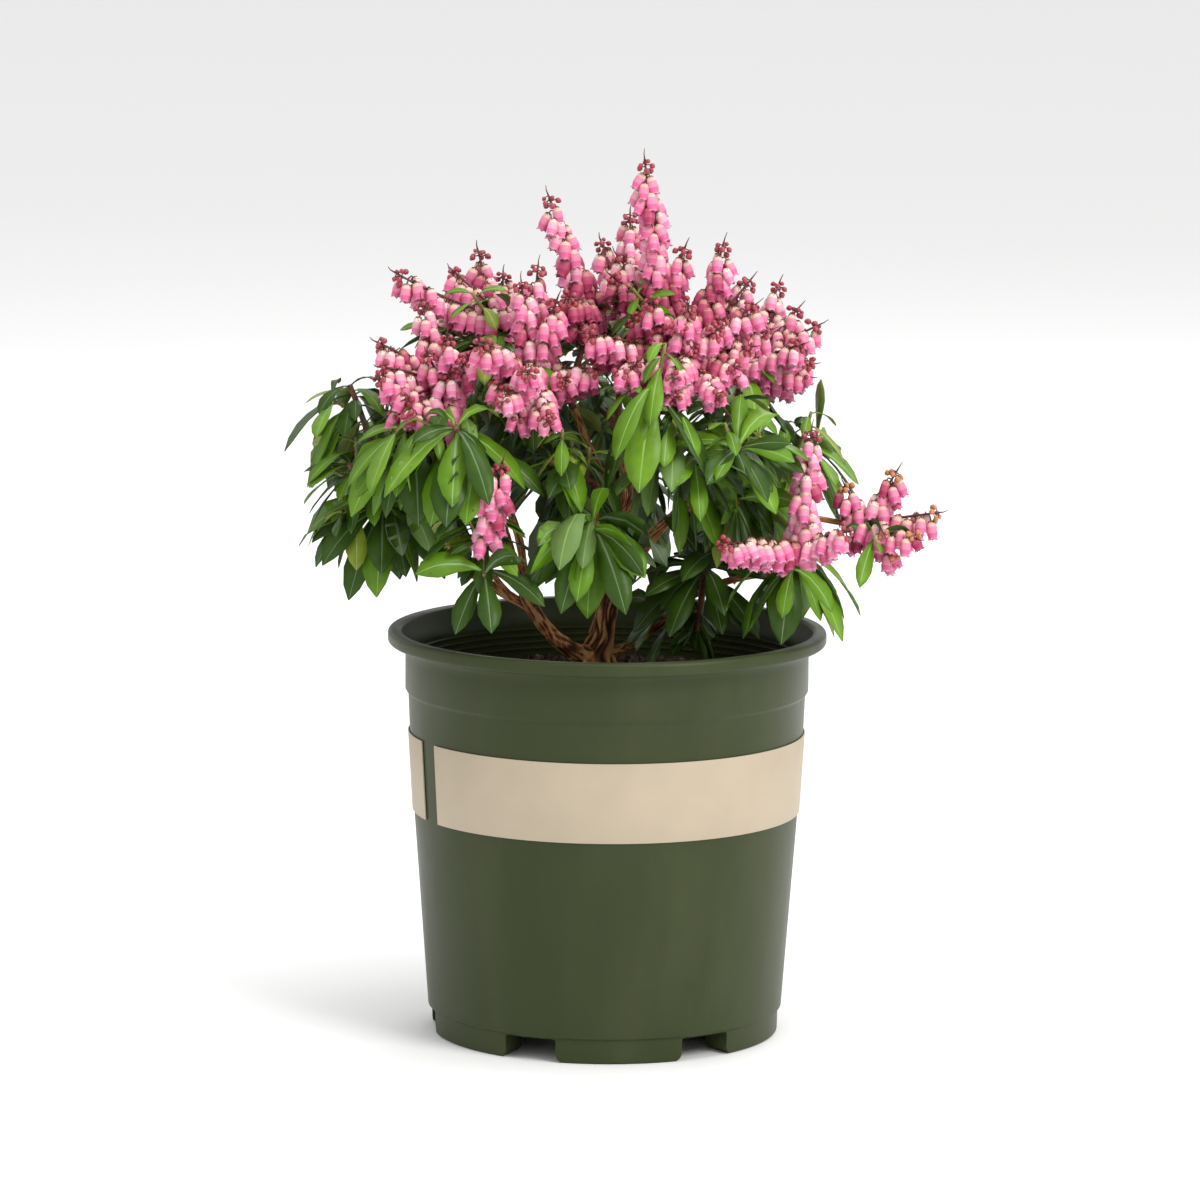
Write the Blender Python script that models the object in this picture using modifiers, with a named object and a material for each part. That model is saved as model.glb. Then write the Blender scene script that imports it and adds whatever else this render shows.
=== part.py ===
# A flowering lily-of-the-valley shrub (pink pieris) in a moulded nursery pot.
# Metres, +Z up. The origin is on the pot's axis at the level of the ground it stands on.
# "turn" is an angle in degrees round that axis, 0 at the front (-Y) and growing towards +X;
# "rise" is an angle in degrees above the horizontal.
import math
import random

import bmesh
import bpy
from mathutils import Matrix, Vector
from mathutils.bvhtree import BVHTree

MM = 0.001
GAP = 0.3 * MM                    # clearance between pieces that touch in the real plant
SPACE = 0.5 * MM                  # clearance that a leaf or bell keeps to other masses and limbs
GOLDEN = 137.5                    # degrees from one leaf to the next round a shoot
SIDESTEPS = (0, 12, -12, 24, -24, 36, -36)     # degrees a flower stalk may turn aside
BELL_SIDESTEPS = (0, 40, -40, 80, -80, 120, -120, 160)
LEAF_SIDESTEPS = ((0, 1.0), (14, 1.0), (-14, 1.0), (28, 0.92), (-28, 0.92), (42, 0.8),
                  (-42, 0.8), (60, 0.7), (-60, 0.7))   # degrees, and part of its full length
TWIG_SIDESTEPS = ((0, 0), (20, 0), (-20, 0), (0, 25), (0, -25), (35, 20), (35, -20), (-35, 30),
                  (-35, -30), (50, 0), (0, 50), (0, -50))   # degrees up and sideways

# The pot
STEPS = 36
POT_HEIGHT = 157.6 * MM
RIM_RADIUS = 85.0 * MM
LIP_BOTTOM = 152.3 * MM
LIP_WIDTH = 5.4 * MM
LIP_ROUND = 1.1 * MM
COLLAR_RADIUS = 78.2 * MM         # the straight collar between the lip and the step
COLLAR_BOTTOM = 134.0 * MM
STEP_RADIUS = 77.0 * MM
BAND_TOP, BAND_TOP_RADIUS = 118.0 * MM, 76.4 * MM
BAND_BOTTOM, BAND_BOTTOM_RADIUS = 87.1 * MM, 74.6 * MM
FOOT_HEIGHT = 9.8 * MM
WALL_FOOT_RADIUS = 68.9 * MM
FOOT_RADIUS = 67.7 * MM
FOOT_DEPTH = 14.0 * MM
FLOOR_UNDER = 9.2 * MM
WALL = 1.5 * MM
FLOOR = 2.1 * MM
PAD_RADIUS = 16.0 * MM            # a foot under the middle of the floor
FEET = 6
NOTCH_TURN = 35.0                 # the notch at the front right
NOTCH_WIDTH = 21.0 * MM
NOTCH_FLARE = 1.6 * MM
DRAIN = (9.0 * MM, 9.0 * MM)      # a drain slot's width and its length along the radius
DRAIN_CENTRE = 60.5 * MM

# The printed band round the wall, with one narrow gap at the left
LABEL_THICKNESS = 0.4 * MM
LABEL_START, LABEL_END = -59.0, 292.7

# The bark mix that fills the pot
SOIL_FLAT = 30.0 * MM
SOIL_TOP = 140.7 * MM
SOIL_EDGE = 134.8 * MM
SOIL_STEPS = 30

# Limbs: the trunk's foot and tip, and each bough as it leaves its parent
TRUNK_FOOT = (-4.5, 15.0)         # millimetres along X and Y
TRUNK_TIP = (131.0, 12.0, 204.0)  # turn, reach and height in millimetres
TRUNK_LEAN = (75.0, 78.0)         # turn and rise of its first stretch
TRUNK_RADII = (5.0 * MM, 2.5 * MM)
FLARE = 4.2 * MM                  # how far the roots spread the trunk's foot
FLARE_HEIGHT = 5.0 * MM
BOW = 0.38                        # how long a limb keeps the heading it leaves with
LIMB_STEPS = 5
# name: parent, place along it, (turn, rise) on leaving, (turn, reach, height) of the tip, radii
BOUGHS = {
    "bough_left": ("trunk", 0.14, (-56, 3), (-77, 47, 220), (2.7, 1.7)),
    "bough_far_left": ("bough_left", 0.50, (-84, 26), (-91, 81, 198), (1.9, 1.3)),
    "bough_left_top": ("bough_left", 0.80, (-110, 70), (-98, 45, 248), (1.5, 1.2)),
    "bough_left_spur": ("bough_far_left", 0.18, (-30, 30), (-55, 56, 187), (1.3, 1.1)),
    "bough_left_back": ("bough_far_left", 0.55, (-150, 35), (-109, 79, 204), (1.4, 1.1)),
    "bough_back_left": ("bough_left", 0.62, (170, 40), (-127, 56, 212), (1.7, 1.3)),
    "bough_right_low": ("trunk", 0.10, (118, 8), (93, 37, 176), (2.1, 1.4)),
    "bough_right": ("bough_right_low", 0.84, (60, 35), (74, 70, 183), (1.5, 1.2)),
    "bough_back_right": ("trunk", 0.42, (165, 38), (128, 48, 212), (1.8, 1.3)),
    "bough_front": ("trunk", 0.60, (-10, 40), (5, 24, 215), (1.8, 1.3)),
    "bough_right_up": ("trunk", 0.78, (92, 28), (92, 38, 215), (1.9, 1.3)),
    "bough_far_right": ("bough_right_up", 0.70, (100, 5), (91, 92, 199), (1.3, 1.1)),
    "bough_back": ("trunk", 0.84, (175, 45), (174, 42, 226), (1.7, 1.3)),
    "bough_top_left": ("trunk", 0.90, (-95, 62), (-103, 14, 243), (1.8, 1.4)),
    "bough_front_up": ("trunk", 0.93, (20, 50), (36, 24, 239), (1.7, 1.3)),
    "bough_top": ("trunk", 0.99, (95, 80), (97, 18, 257), (2.0, 1.4)),
}

# Foliage: leaves, twigs and the hanging bells
LEAF_WIDTH = 0.37                 # of its length
LEAF_STATIONS = ((0.32, 0.62), (0.66, 1.00))   # along the leaf, and part of its half width
LEAF_KEEL = 0.9 * MM
LEAF_LIFT = 0.9 * MM              # how far a leaf's edges stand above its midrib
PETIOLE = 0.7 * MM
TWIG_RADII = (1.6 * MM, 1.3 * MM)
WHORL_DEPTH = 10.0 * MM           # the length of twig that carries a shoot's leaves
WHORL_OPENING = (48, 34)          # degrees from the shoot's axis, and how much more lower down
UNDER_FLOWERS = 12                # degrees more where a shoot carries flower stalks
TWIG_ARCH = 8                     # degrees that a twig sets out above its straight way
RACHIS_RADII = (1.0 * MM, 0.55 * MM)
BELL_SPACING = 5.8 * MM
BELL_LENGTH = 9.4 * MM
BELL_RADIUS = 3.9 * MM
BELL_MOUTH = 2.6 * MM
BELL_SIDES = 3
BELL_TILT = 30.0                  # degrees out from straight down
# A shoot: (turn, reach, height) of its tip, leaf count, leaf length, droop in degrees, and
# its flower stalks as (turn, rise, length, droop)
FOLIAGE = {
    "foliage_far_left": ("bough_far_left", [
        ((-90, 100, 252), 9, 37, 75, []),
        ((-82, 101, 223), 6, 25, 60, []),
        ((-84, 88, 205), 8, 40, 85, []),
    ]),
    "foliage_left_front": ("bough_left", [
        ((-62, 90, 241), 8, 40, 80, []),
        ((-45, 82, 243), 8, 42, 80, []),
        ((-69, 68, 256), 4, 32, 70,
         [(-145, 63, 34, 0), (-98, 42, 31, 20), (-62, 20, 30, 20), (-27, 5, 32, 40),
          (0, 55, 28, 0)]),
    ]),
    "foliage_left_top": ("bough_left_top", [
        ((-93, 40, 279), 4, 30, 50, [(-88, 14, 46, -16), (-130, 35, 32, 5)]),
        ((-104, 59, 275), 6, 28, 40, []),
    ]),
    "foliage_top_left": ("bough_top_left", [
        ((-58, 38, 262), 6, 38, 80,
         [(-24, 22, 45, 10), (-12, -4, 44, 15), (160, 76, 40, 0), (-90, 84, 34, 0),
          (60, 68, 30, 0), (65, 12, 28, 15)]),
        ((-120, 31, 232), 7, 36, 70, []),
        ((-157, 13, 281), 4, 30, 50, [(-96, 67, 48, 0), (-20, 25, 32, 20)]),
    ]),
    "foliage_left_low": ("bough_left_spur", [
        ((-41, 72, 200), 7, 22, 50, [(35, 68, 33, 0)]),
    ]),
    "foliage_low_front": ("bough_front", [
        ((-7, 55, 203), 9, 38, 70, []),
        ((-32, 43, 228), 7, 36, 75, []),
    ]),
    "foliage_front": ("bough_front_up", [
        ((19, 53, 260), 10, 43, 100, []),
        ((41, 46, 222), 7, 36, 70, []),
    ]),
    "foliage_crown": ("bough_top", [
        ((96, 20, 284), 4, 30, 50,
         [(-85, 83, 57, 0), (-110, 42, 27, -10), (90, 70, 26, 0)]),
        ((67, 36, 268), 5, 36, 70,
         [(142, 66, 44, 0), (122, 45, 37, 0), (98, 20, 31, 10), (39, 5, 28, 25),
          (-8, 5, 44, 25), (-57, 12, 48, 0), (-33, 5, 48, 20), (-32, 42, 34, 0),
          (4, 38, 34, 0), (43, 33, 28, 0)]),
    ]),
    "foliage_right_up": ("bough_right_up", [
        ((95, 48, 248), 9, 36, 60, []),
        ((50, 65, 234), 9, 29, 50, []),
        ((70, 53, 209), 6, 31, 60, []),
    ]),
    "foliage_right_low": ("bough_right_low", [
        ((72, 39, 185), 8, 36, 60, []),
        ((75, 36, 158), 5, 18, 50, []),
    ]),
    "foliage_right": ("bough_right", [
        ((64, 82, 196), 9, 38, 85, [(160, 75, 45, 0), (-45, 12, 44, 10), (45, 30, 27, 20)]),
    ]),
    "foliage_far_right": ("bough_far_right", [
        ((90, 101, 199), 5, 28, 60,
         [(-90, 60, 18, 0), (90, 60, 24, 0), (71, 14, 31, 5), (46, 5, 29, 20),
          (50, -20, 22, 30), (20, 5, 18, 30)]),
    ]),
    "foliage_back_right": ("bough_back_right", [
        ((124, 66, 258), 7, 36, 70, [(150, 50, 38, 0), (90, 35, 32, 10), (120, 10, 30, 20)]),
        ((113, 89, 225), 8, 38, 75, []),
        ((144, 86, 200), 8, 38, 80, []),
    ]),
    "foliage_back": ("bough_back", [
        ((170, 46, 275), 5, 34, 60,
         [(180, 60, 44, 0), (150, 25, 36, 20), (-150, 20, 38, 20), (-170, -5, 30, 20)]),
        ((-174, 75, 238), 9, 40, 75, []),
        ((176, 82, 198), 8, 38, 80, []),
    ]),
    "foliage_back_left": ("bough_back_left", [
        ((-139, 64, 264), 7, 36, 70,
         [(-150, 60, 40, 0), (-120, 25, 34, 15), (-165, 15, 34, 20), (170, 35, 30, 0)]),
        ((-136, 86, 226), 8, 38, 75, []),
    ]),
    "foliage_left_back": ("bough_left_back", [
        ((-109, 97, 236), 8, 38, 75, []),
        ((-128, 89, 205), 8, 38, 80, []),
    ]),
}

# name: base colour, roughness, metallic
FINISHES = {
    "pot_plastic": ((0.075, 0.088, 0.042), 0.42, 0.0),
    "band_print": ((0.66, 0.56, 0.41), 0.55, 0.0),
    "bark_mix": ((0.030, 0.019, 0.012), 0.95, 0.0),
    "bark": ((0.24, 0.105, 0.050), 0.85, 0.0),
    "foliage": ((0.095, 0.210, 0.035), 0.40, 0.0),
    "blossom": ((0.74, 0.17, 0.28), 0.50, 0.0),
}


def material(name):
    """The material of that name, made when it is first asked for."""
    if name in bpy.data.materials:
        return bpy.data.materials[name]
    colour, roughness, metallic = FINISHES[name]
    made = bpy.data.materials.new(name)
    made.use_nodes = True
    shader = made.node_tree.nodes["Principled BSDF"]
    shader.inputs["Base Color"].default_value = (*colour, 1.0)
    shader.inputs["Roughness"].default_value = roughness
    shader.inputs["Metallic"].default_value = metallic
    return made


def add_object(name, shape, collection, finish=None):
    """A mesh object of a shape, which is a pair of its points and its faces."""
    mesh = bpy.data.meshes.new(name)
    points, faces = shape
    mesh.from_pydata([tuple(point) for point in points], [], faces)
    made = bpy.data.objects.new(name, mesh)
    collection.objects.link(made)
    if finish:
        mesh.materials.append(material(finish))
    return made


def as_cutter(cutter):
    cutter.hide_render = True
    cutter.display_type = "WIRE"
    return cutter


def subtract(target, cutter, solver="EXACT"):
    cut = target.modifiers.new(f"cut_{cutter.name}", "BOOLEAN")
    cut.operation = "DIFFERENCE"
    cut.solver = solver
    cut.object = cutter


def evaluated_mesh(thing):
    depsgraph = bpy.context.evaluated_depsgraph_get()
    return bpy.data.meshes.new_from_object(thing.evaluated_get(depsgraph))


def heading(turn, rise):
    turn, rise = math.radians(turn), math.radians(rise)
    return Vector((math.sin(turn) * math.cos(rise), -math.cos(turn) * math.cos(rise),
                   math.sin(rise)))


def place(turn, reach, height):
    """A point from its turn in degrees, and its reach and height in millimetres."""
    return heading(turn, 0) * reach * MM + Vector((0, 0, height * MM))


def bow(start, leaving, end, steps):
    """Points of a limb that leaves along a heading and curves to its end."""
    knee = start + leaving * (end - start).length * BOW
    points = []
    for step in range(steps + 1):
        t = step / steps
        points.append(start * (1 - t) ** 2 + knee * 2 * t * (1 - t) + end * t * t)
    return points


def stalk(start, turn, rise, length, droop, steps):
    """Points of a stalk whose rise falls by its droop from one end to the other."""
    points = [start.copy()]
    for step in range(steps):
        here = rise - droop * (step + 0.5) / steps
        points.append(points[-1] + heading(turn, here) * length / steps)
    return points


def along(points, t):
    """The point at a part t of the way along a path, and the heading there."""
    spot = min(t, 0.9999) * (len(points) - 1)
    step = int(spot)
    return points[step].lerp(points[step + 1], spot - step), \
        (points[step + 1] - points[step]).normalized()


def across(direction, hint):
    """Two unit vectors across a direction; the second is the hint's part across it."""
    up = (hint - direction * hint.dot(direction)).normalized()
    return direction.cross(up), up


def ring(centre, direction, hint, radii):
    """A closed ring of points, one for each radius, anticlockwise about the direction."""
    side, up = across(direction, hint)
    points = []
    for k, radius in enumerate(radii):
        angle = 2 * math.pi * k / len(radii)
        points.append(centre + (up * math.cos(angle) + side * math.sin(angle)) * radius)
    return points


def loft(rings):
    """A closed shape through rings of points; the first or the last may be one point."""
    points, faces, first = [], [], []
    for section in rings:
        first.append(len(points))
        points += section
    for near, far, a, b in zip(rings, rings[1:], first, first[1:]):
        count = max(len(near), len(far))
        for k in range(count):
            j = (k + 1) % count
            if len(near) == 1:
                faces.append((a, b + j, b + k))
            elif len(far) == 1:
                faces.append((a + k, a + j, b))
            else:
                faces.append((a + k, a + j, b + j, b + k))
    if len(rings[0]) > 1:
        faces.append(tuple(reversed(range(len(rings[0])))))
    if len(rings[-1]) > 1:
        faces.append(tuple(range(first[-1], first[-1] + len(rings[-1]))))
    return points, faces


def rod(points, radii, sides, grow=0.0):
    """A tapering rod along a path."""
    hint = Vector((0.36, 0.48, 0.8))
    rings = []
    for k, point in enumerate(points):
        ahead, behind = points[min(k + 1, len(points) - 1)], points[max(k - 1, 0)]
        direction = (ahead - behind).normalized()
        _, hint = across(direction, hint)
        radius = radii[0] + (radii[1] - radii[0]) * k / (len(points) - 1) + grow
        rings.append(ring(point, direction, hint, [radius] * sides))
    return loft(rings)


def leaf(root, direction, up, length, droop, grow=0.0):
    """A keeled leaf that starts along a direction and droops towards the ground."""
    side, _ = across(direction, up)
    half = length * LEAF_WIDTH / 2
    stops = [(0.0, PETIOLE / half)] + list(LEAF_STATIONS) + [(1.0, 0.0)]
    fall = math.tan(math.radians(droop) / 2) * 2
    rings, centre, last = [], root.copy(), 0.0
    for t, part in stops:
        heading_here = (direction - Vector((0, 0, fall * t))).normalized()
        centre = centre + heading_here * length * (t - last)
        last = t
        side_here = (side - heading_here * side.dot(heading_here)).normalized()
        normal = side_here.cross(heading_here)
        if part == 0.0:
            rings.append([centre + heading_here * grow])
            continue
        lift = normal * (LEAF_LIFT * part * (t > 0) + grow)
        wide = side_here * (half * part + grow)
        keel = normal * (LEAF_KEEL * (0.6 if t == 0 else 1.0) + grow)
        rings.append([centre + wide + lift, centre - keel, centre - wide + lift])
    return loft(rings)


def bell(top, direction, hint, grow=0.0):
    """A hanging bell: a pointed top, a full shoulder and a narrower mouth."""
    sections = ((0.30, BELL_RADIUS), (1.0, BELL_MOUTH))
    rings = [[top]]
    for t, radius in sections:
        centre = top + direction * (BELL_LENGTH * t + grow * (t == 1.0))
        rings.append(ring(centre, direction, hint, [radius + grow] * BELL_SIDES))
    return loft(rings)


def facet_radius(turn, radius):
    """The wall's true radius at a turn, for a wall turned in STEPS flat facets."""
    facet = 360 / STEPS
    off = (turn % facet) - facet / 2
    return radius * math.cos(math.radians(facet / 2)) / math.cos(math.radians(off))


def pot_profile():
    """Half the pot's section, from the floor's middle up the inside and down the outside."""
    lip_inner = RIM_RADIUS - LIP_WIDTH
    inner_foot = WALL_FOOT_RADIUS - WALL
    return [
        (0, FLOOR_UNDER + FLOOR), (inner_foot, FLOOR_UNDER + FLOOR),
        (BAND_TOP_RADIUS - WALL, BAND_TOP), (COLLAR_RADIUS - WALL, COLLAR_BOTTOM + WALL),
        (COLLAR_RADIUS - WALL, LIP_BOTTOM - 4 * MM), (lip_inner, LIP_BOTTOM),
        (lip_inner, POT_HEIGHT),
        (RIM_RADIUS - LIP_ROUND, POT_HEIGHT), (RIM_RADIUS, POT_HEIGHT - LIP_ROUND),
        (RIM_RADIUS, LIP_BOTTOM + LIP_ROUND), (RIM_RADIUS - LIP_ROUND, LIP_BOTTOM),
        (COLLAR_RADIUS + 1.8 * MM, LIP_BOTTOM - 0.4 * MM), (COLLAR_RADIUS, LIP_BOTTOM - 4 * MM),
        (COLLAR_RADIUS, COLLAR_BOTTOM), (STEP_RADIUS, COLLAR_BOTTOM - 1.2 * MM),
        (BAND_TOP_RADIUS, BAND_TOP), (BAND_BOTTOM_RADIUS, BAND_BOTTOM),
        (WALL_FOOT_RADIUS, FOOT_HEIGHT), (FOOT_RADIUS, FOOT_HEIGHT - 0.2 * MM),
        (FOOT_RADIUS - 0.2 * MM, 0), (FOOT_RADIUS - FOOT_DEPTH, 0),
        (FOOT_RADIUS - FOOT_DEPTH - 0.3 * MM, FLOOR_UNDER), (PAD_RADIUS + 0.4 * MM, FLOOR_UNDER),
        (PAD_RADIUS, 0), (0, 0),
    ]


def turned(name, profile, steps, collection, finish):
    """A solid turned about +Z from a profile of (radius, height) points."""
    mesh = bpy.data.meshes.new(name)
    mesh.from_pydata([(radius, 0, height) for radius, height in profile],
                     [(k, k + 1) for k in range(len(profile) - 1)], [])
    mesh.materials.append(material(finish))
    made = bpy.data.objects.new(name, mesh)
    collection.objects.link(made)
    screw = made.modifiers.new("turn", "SCREW")
    screw.steps = screw.render_steps = steps
    screw.use_merge_vertices = True
    screw.merge_threshold = 0.00005
    return made


def box_between(low, high):
    """A closed box as a shape, from two rings of four corners."""
    rings = []
    for z in (low[2], high[2]):
        rings.append([Vector((low[0], low[1], z)), Vector((high[0], low[1], z)),
                      Vector((high[0], high[1], z)), Vector((low[0], high[1], z))])
    return loft(rings)


def joined(shapes):
    """One shape that holds several separate ones."""
    points, faces = [], []
    for some_points, some_faces in shapes:
        base = len(points)
        points += some_points
        faces += [tuple(base + k for k in face) for face in some_faces]
    return points, faces


def turned_round(shape, turn):
    spin = Matrix.Rotation(math.radians(turn), 3, "Z")
    return [spin @ point for point in shape[0]], shape[1]


def make_pot(collection, cutters):
    pot = turned("pot", pot_profile(), STEPS, collection, "pot_plastic")
    half = NOTCH_WIDTH / 2
    inner, outer = FOOT_RADIUS - FOOT_DEPTH - 4 * MM, RIM_RADIUS
    outline = [(-half - NOTCH_FLARE, -1 * MM), (half + NOTCH_FLARE, -1 * MM),
               (half, 2.4 * MM), (half, FOOT_HEIGHT - 0.7 * MM),
               (-half, FOOT_HEIGHT - 0.7 * MM), (-half, 2.4 * MM)]
    notch = loft([[Vector((x, y, z)) for x, z in outline] for y in (-inner, -outer)])
    wide, long = DRAIN[0] / 2, DRAIN[1] / 2
    slot = box_between((-wide, -DRAIN_CENTRE - long, FLOOR_UNDER - 4 * MM),
                       (wide, -DRAIN_CENTRE + long, FLOOR_UNDER + FLOOR + 2 * MM))
    turns = [NOTCH_TURN + 360 / FEET * k for k in range(FEET)]
    for name, shape in (("notch_cutter", notch), ("drain_cutter", slot)):
        shapes = [turned_round(shape, turn) for turn in turns]
        subtract(pot, as_cutter(add_object(name, joined(shapes), cutters)))
    return pot


def make_label(collection):
    """A thin sleeve that follows the wall's facets, open at its gap."""
    facet = 360 / STEPS
    first = math.floor(LABEL_START / facet) + 1
    turns = [LABEL_START] + [facet * k for k in range(first, math.ceil(LABEL_END / facet))]
    turns.append(LABEL_END)
    rings = []
    for turn in turns:
        section = []
        for radius, height, out in ((BAND_BOTTOM_RADIUS, BAND_BOTTOM, 0),
                                    (BAND_TOP_RADIUS, BAND_TOP, 0),
                                    (BAND_TOP_RADIUS, BAND_TOP, 1),
                                    (BAND_BOTTOM_RADIUS, BAND_BOTTOM, 1)):
            reach = facet_radius(turn, radius + GAP + LABEL_THICKNESS * out)
            section.append(heading(turn, 0) * reach + Vector((0, 0, height)))
        rings.append(section)
    return add_object("label_band", loft(rings), collection, "band_print")


def make_soil(collection):
    shy = 0.3 * MM + GAP          # the pot's flat facets come nearer than its corners
    foot = WALL_FOOT_RADIUS - WALL - shy
    floor = FLOOR_UNDER + FLOOR + GAP
    profile = [(0, SOIL_TOP), (SOIL_FLAT, SOIL_TOP), (SOIL_FLAT * 1.6, SOIL_TOP - 2.6 * MM),
               (STEP_RADIUS - WALL - shy, SOIL_EDGE),
               (BAND_TOP_RADIUS - WALL - shy, BAND_TOP),
               (foot, floor), (0, floor)]
    return turned("soil", profile, SOIL_STEPS, collection, "bark_mix")


def limb_radii(points, radii, sides, chance):
    """The radius at each point round each ring of a limb, a little uneven as bark is."""
    rows = []
    for k in range(len(points)):
        radius = (radii[0] + (radii[1] - radii[0]) * k / (len(points) - 1)) * MM
        rows.append([radius * chance.uniform(0.93, 1.07) for _ in range(sides)])
    return rows


def limb_shape(points, rows, grow=0.0):
    hint = Vector((0.6, 0.8, 0.0))
    rings = []
    for k, point in enumerate(points):
        ahead, behind = points[min(k + 1, len(points) - 1)], points[max(k - 1, 0)]
        direction = (ahead - behind).normalized()
        _, hint = across(direction, hint)
        rings.append(ring(point, direction, hint, [radius + grow for radius in rows[k]]))
    return loft(rings)


def trunk_path():
    """The trunk's points, with a flat cut at the soil and a root flare over it."""
    foot = Vector((TRUNK_FOOT[0] * MM, TRUNK_FOOT[1] * MM, SOIL_TOP + GAP))
    points = bow(foot, heading(*TRUNK_LEAN), place(*TRUNK_TIP), 8)
    near_foot = [points[0], points[0].lerp(points[1], 0.45)]
    return near_foot + points[1:]


def make_limbs(collection, cutters):
    """The trunk and the boughs; each bough is cut to sit against the limbs it leaves."""
    chance = random.Random(5)
    points = trunk_path()
    sides = 9
    rows = []
    for k, point in enumerate(points):
        t = k / (len(points) - 1)
        radius = TRUNK_RADII[0] + (TRUNK_RADII[1] - TRUNK_RADII[0]) * t ** 0.6
        flare = FLARE * math.exp(-(point.z - points[0].z) / FLARE_HEIGHT)
        rows.append([radius * chance.uniform(0.94, 1.06)
                     + flare * (1 + 0.45 * math.cos(math.radians(120 * j + 30)))
                     for j in range(sides)])
    shape = limb_shape(points, rows)
    for k in range(sides):            # the foot is cut level, whatever the trunk's lean
        shape[0][k].z = points[0].z
    trunk = add_object("trunk", shape, collection, "bark")
    paths = {"trunk": points}
    limbs = [trunk]
    grown = {"trunk": limb_shape(points, rows, GAP)}
    for name, (parent, at, leaving, tip, radii) in BOUGHS.items():
        start, _ = along(paths[parent], at)
        points = bow(start, heading(*leaving), place(*tip), LIMB_STEPS)
        rows = limb_radii(points, radii, 5, chance)
        bough = add_object(name, limb_shape(points, rows), collection, "bark")
        for other, shape in grown.items():
            if near(shape[0], bough):
                cutter = add_object(f"{name}_seat_on_{other}", shape, cutters)
                subtract(bough, as_cutter(cutter), "MANIFOLD")
        bough.data = largest_shell(evaluated_mesh(bough))
        bough.modifiers.clear()
        for cutter in [thing for thing in cutters.objects if thing.name.startswith(name)]:
            bpy.data.objects.remove(cutter)
        paths[name] = points
        grown[name] = limb_shape(points, rows, GAP)
        limbs.append(bough)
    return limbs, paths


def near(points, thing):
    """True where a set of points and an object's box come within reach of each other."""
    corners = [thing.matrix_world @ Vector(corner) for corner in thing.bound_box]
    for axis in range(3):
        low = min(point[axis] for point in points)
        high = max(point[axis] for point in points)
        if min(c[axis] for c in corners) > high or max(c[axis] for c in corners) < low:
            return False
    return True


def largest_shell(mesh):
    """The mesh without loose scraps and without the walls of any sealed hollow."""
    shape = bmesh.new()
    shape.from_mesh(mesh)
    shells, left = [], set(shape.faces)
    while left:
        shell, edge = set(), [left.pop()]
        while edge:
            face = edge.pop()
            shell.add(face)
            for loop_edge in face.edges:
                for other in loop_edge.link_faces:
                    if other in left:
                        left.discard(other)
                        edge.append(other)
        shells.append(shell)
    keep = max(shells, key=len)
    spare = [face for shell in shells if shell is not keep for face in shell]
    bmesh.ops.delete(shape, geom=spare, context="FACES")
    shape.to_mesh(mesh)
    shape.free()
    return mesh


class Piece:
    """A leaf, bell or stalk as placed, for the test of what would touch it."""

    def __init__(self, shape, mass, shoot=None, blossom=False):
        self.shape, self.mass, self.shoot, self.blossom = shape, mass, shoot, blossom
        points, faces = shape
        self.tree = BVHTree.FromPolygons(points, faces)
        self.centre = sum(points, Vector()) / len(points)
        self.radius = max((point - self.centre).length for point in points)

    def is_bell(self):
        return len(self.shoot) == 3

    def touches(self, other):
        reach = self.radius + other.radius
        if (self.centre - other.centre).length > reach:
            return False
        return bool(self.tree.overlap(other.tree))


class Thicket:
    """All that is placed so far: fixed pieces, and each mass's own."""

    def __init__(self, fixed):
        depsgraph = bpy.context.evaluated_depsgraph_get()
        self.fixed = [BVHTree.FromObject(thing, depsgraph) for thing in fixed]
        self.pieces = []

    def clear(self, grown, mass, tight=None, own=None):
        """True where a grown shape meets no other mass, and the tight one nothing but its own."""
        wide = Piece(grown, mass)
        if any(wide.tree.overlap(tree) for tree in self.fixed):
            return False
        if any(other.mass != mass and wide.touches(other) for other in self.pieces):
            return False
        if not tight:
            return True
        slim = Piece(tight, mass)
        return not any(other.mass == mass and not own(other) and slim.touches(other)
                       for other in self.pieces)

    def add(self, shape, mass, shoot=None, blossom=False):
        self.pieces.append(Piece(shape, mass, shoot, blossom))


def grow_twigs(thicket, mass, start, direction, shoots):
    """The mass's stem and a twig to each shoot; returns each twig's path."""
    tips = [place(*shoot[0]) for shoot in shoots]
    middle = sum(tips, Vector()) / len(tips)
    root = start + direction * GAP
    fork = root + direction * 3 * MM
    if len(shoots) > 1:
        fork = root.lerp(middle, 0.3)
    stem = [root, root + direction * 1.5 * MM] + bow(root + direction * 1.5 * MM, direction,
                                                     fork, 2)[1:]
    thicket.add(rod(stem, TWIG_RADII, 3), mass, ("stem",))
    stem_heading = (stem[-1] - stem[-2]).normalized()
    paths = []
    for index, tip in enumerate(tips):
        start_point = stem[-1] - stem_heading * 1.2 * MM
        for lift, sway in TWIG_SIDESTEPS:
            straight = (tip - start_point).normalized()
            side, up = across(straight, Vector((0, 0, 1)))
            leaving = (straight + up * math.tan(math.radians(TWIG_ARCH + lift))
                       + side * math.tan(math.radians(sway))).normalized()
            steps = 3 if (tip - start_point).length > 25 * MM else 2
            path = bow(start_point, leaving, tip, steps)
            if thicket.clear(rod(path, TWIG_RADII, 3, SPACE), mass):
                break
        thicket.add(rod(path, TWIG_RADII, 3), mass, (index,))
        paths.append(path)
    return paths


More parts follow.
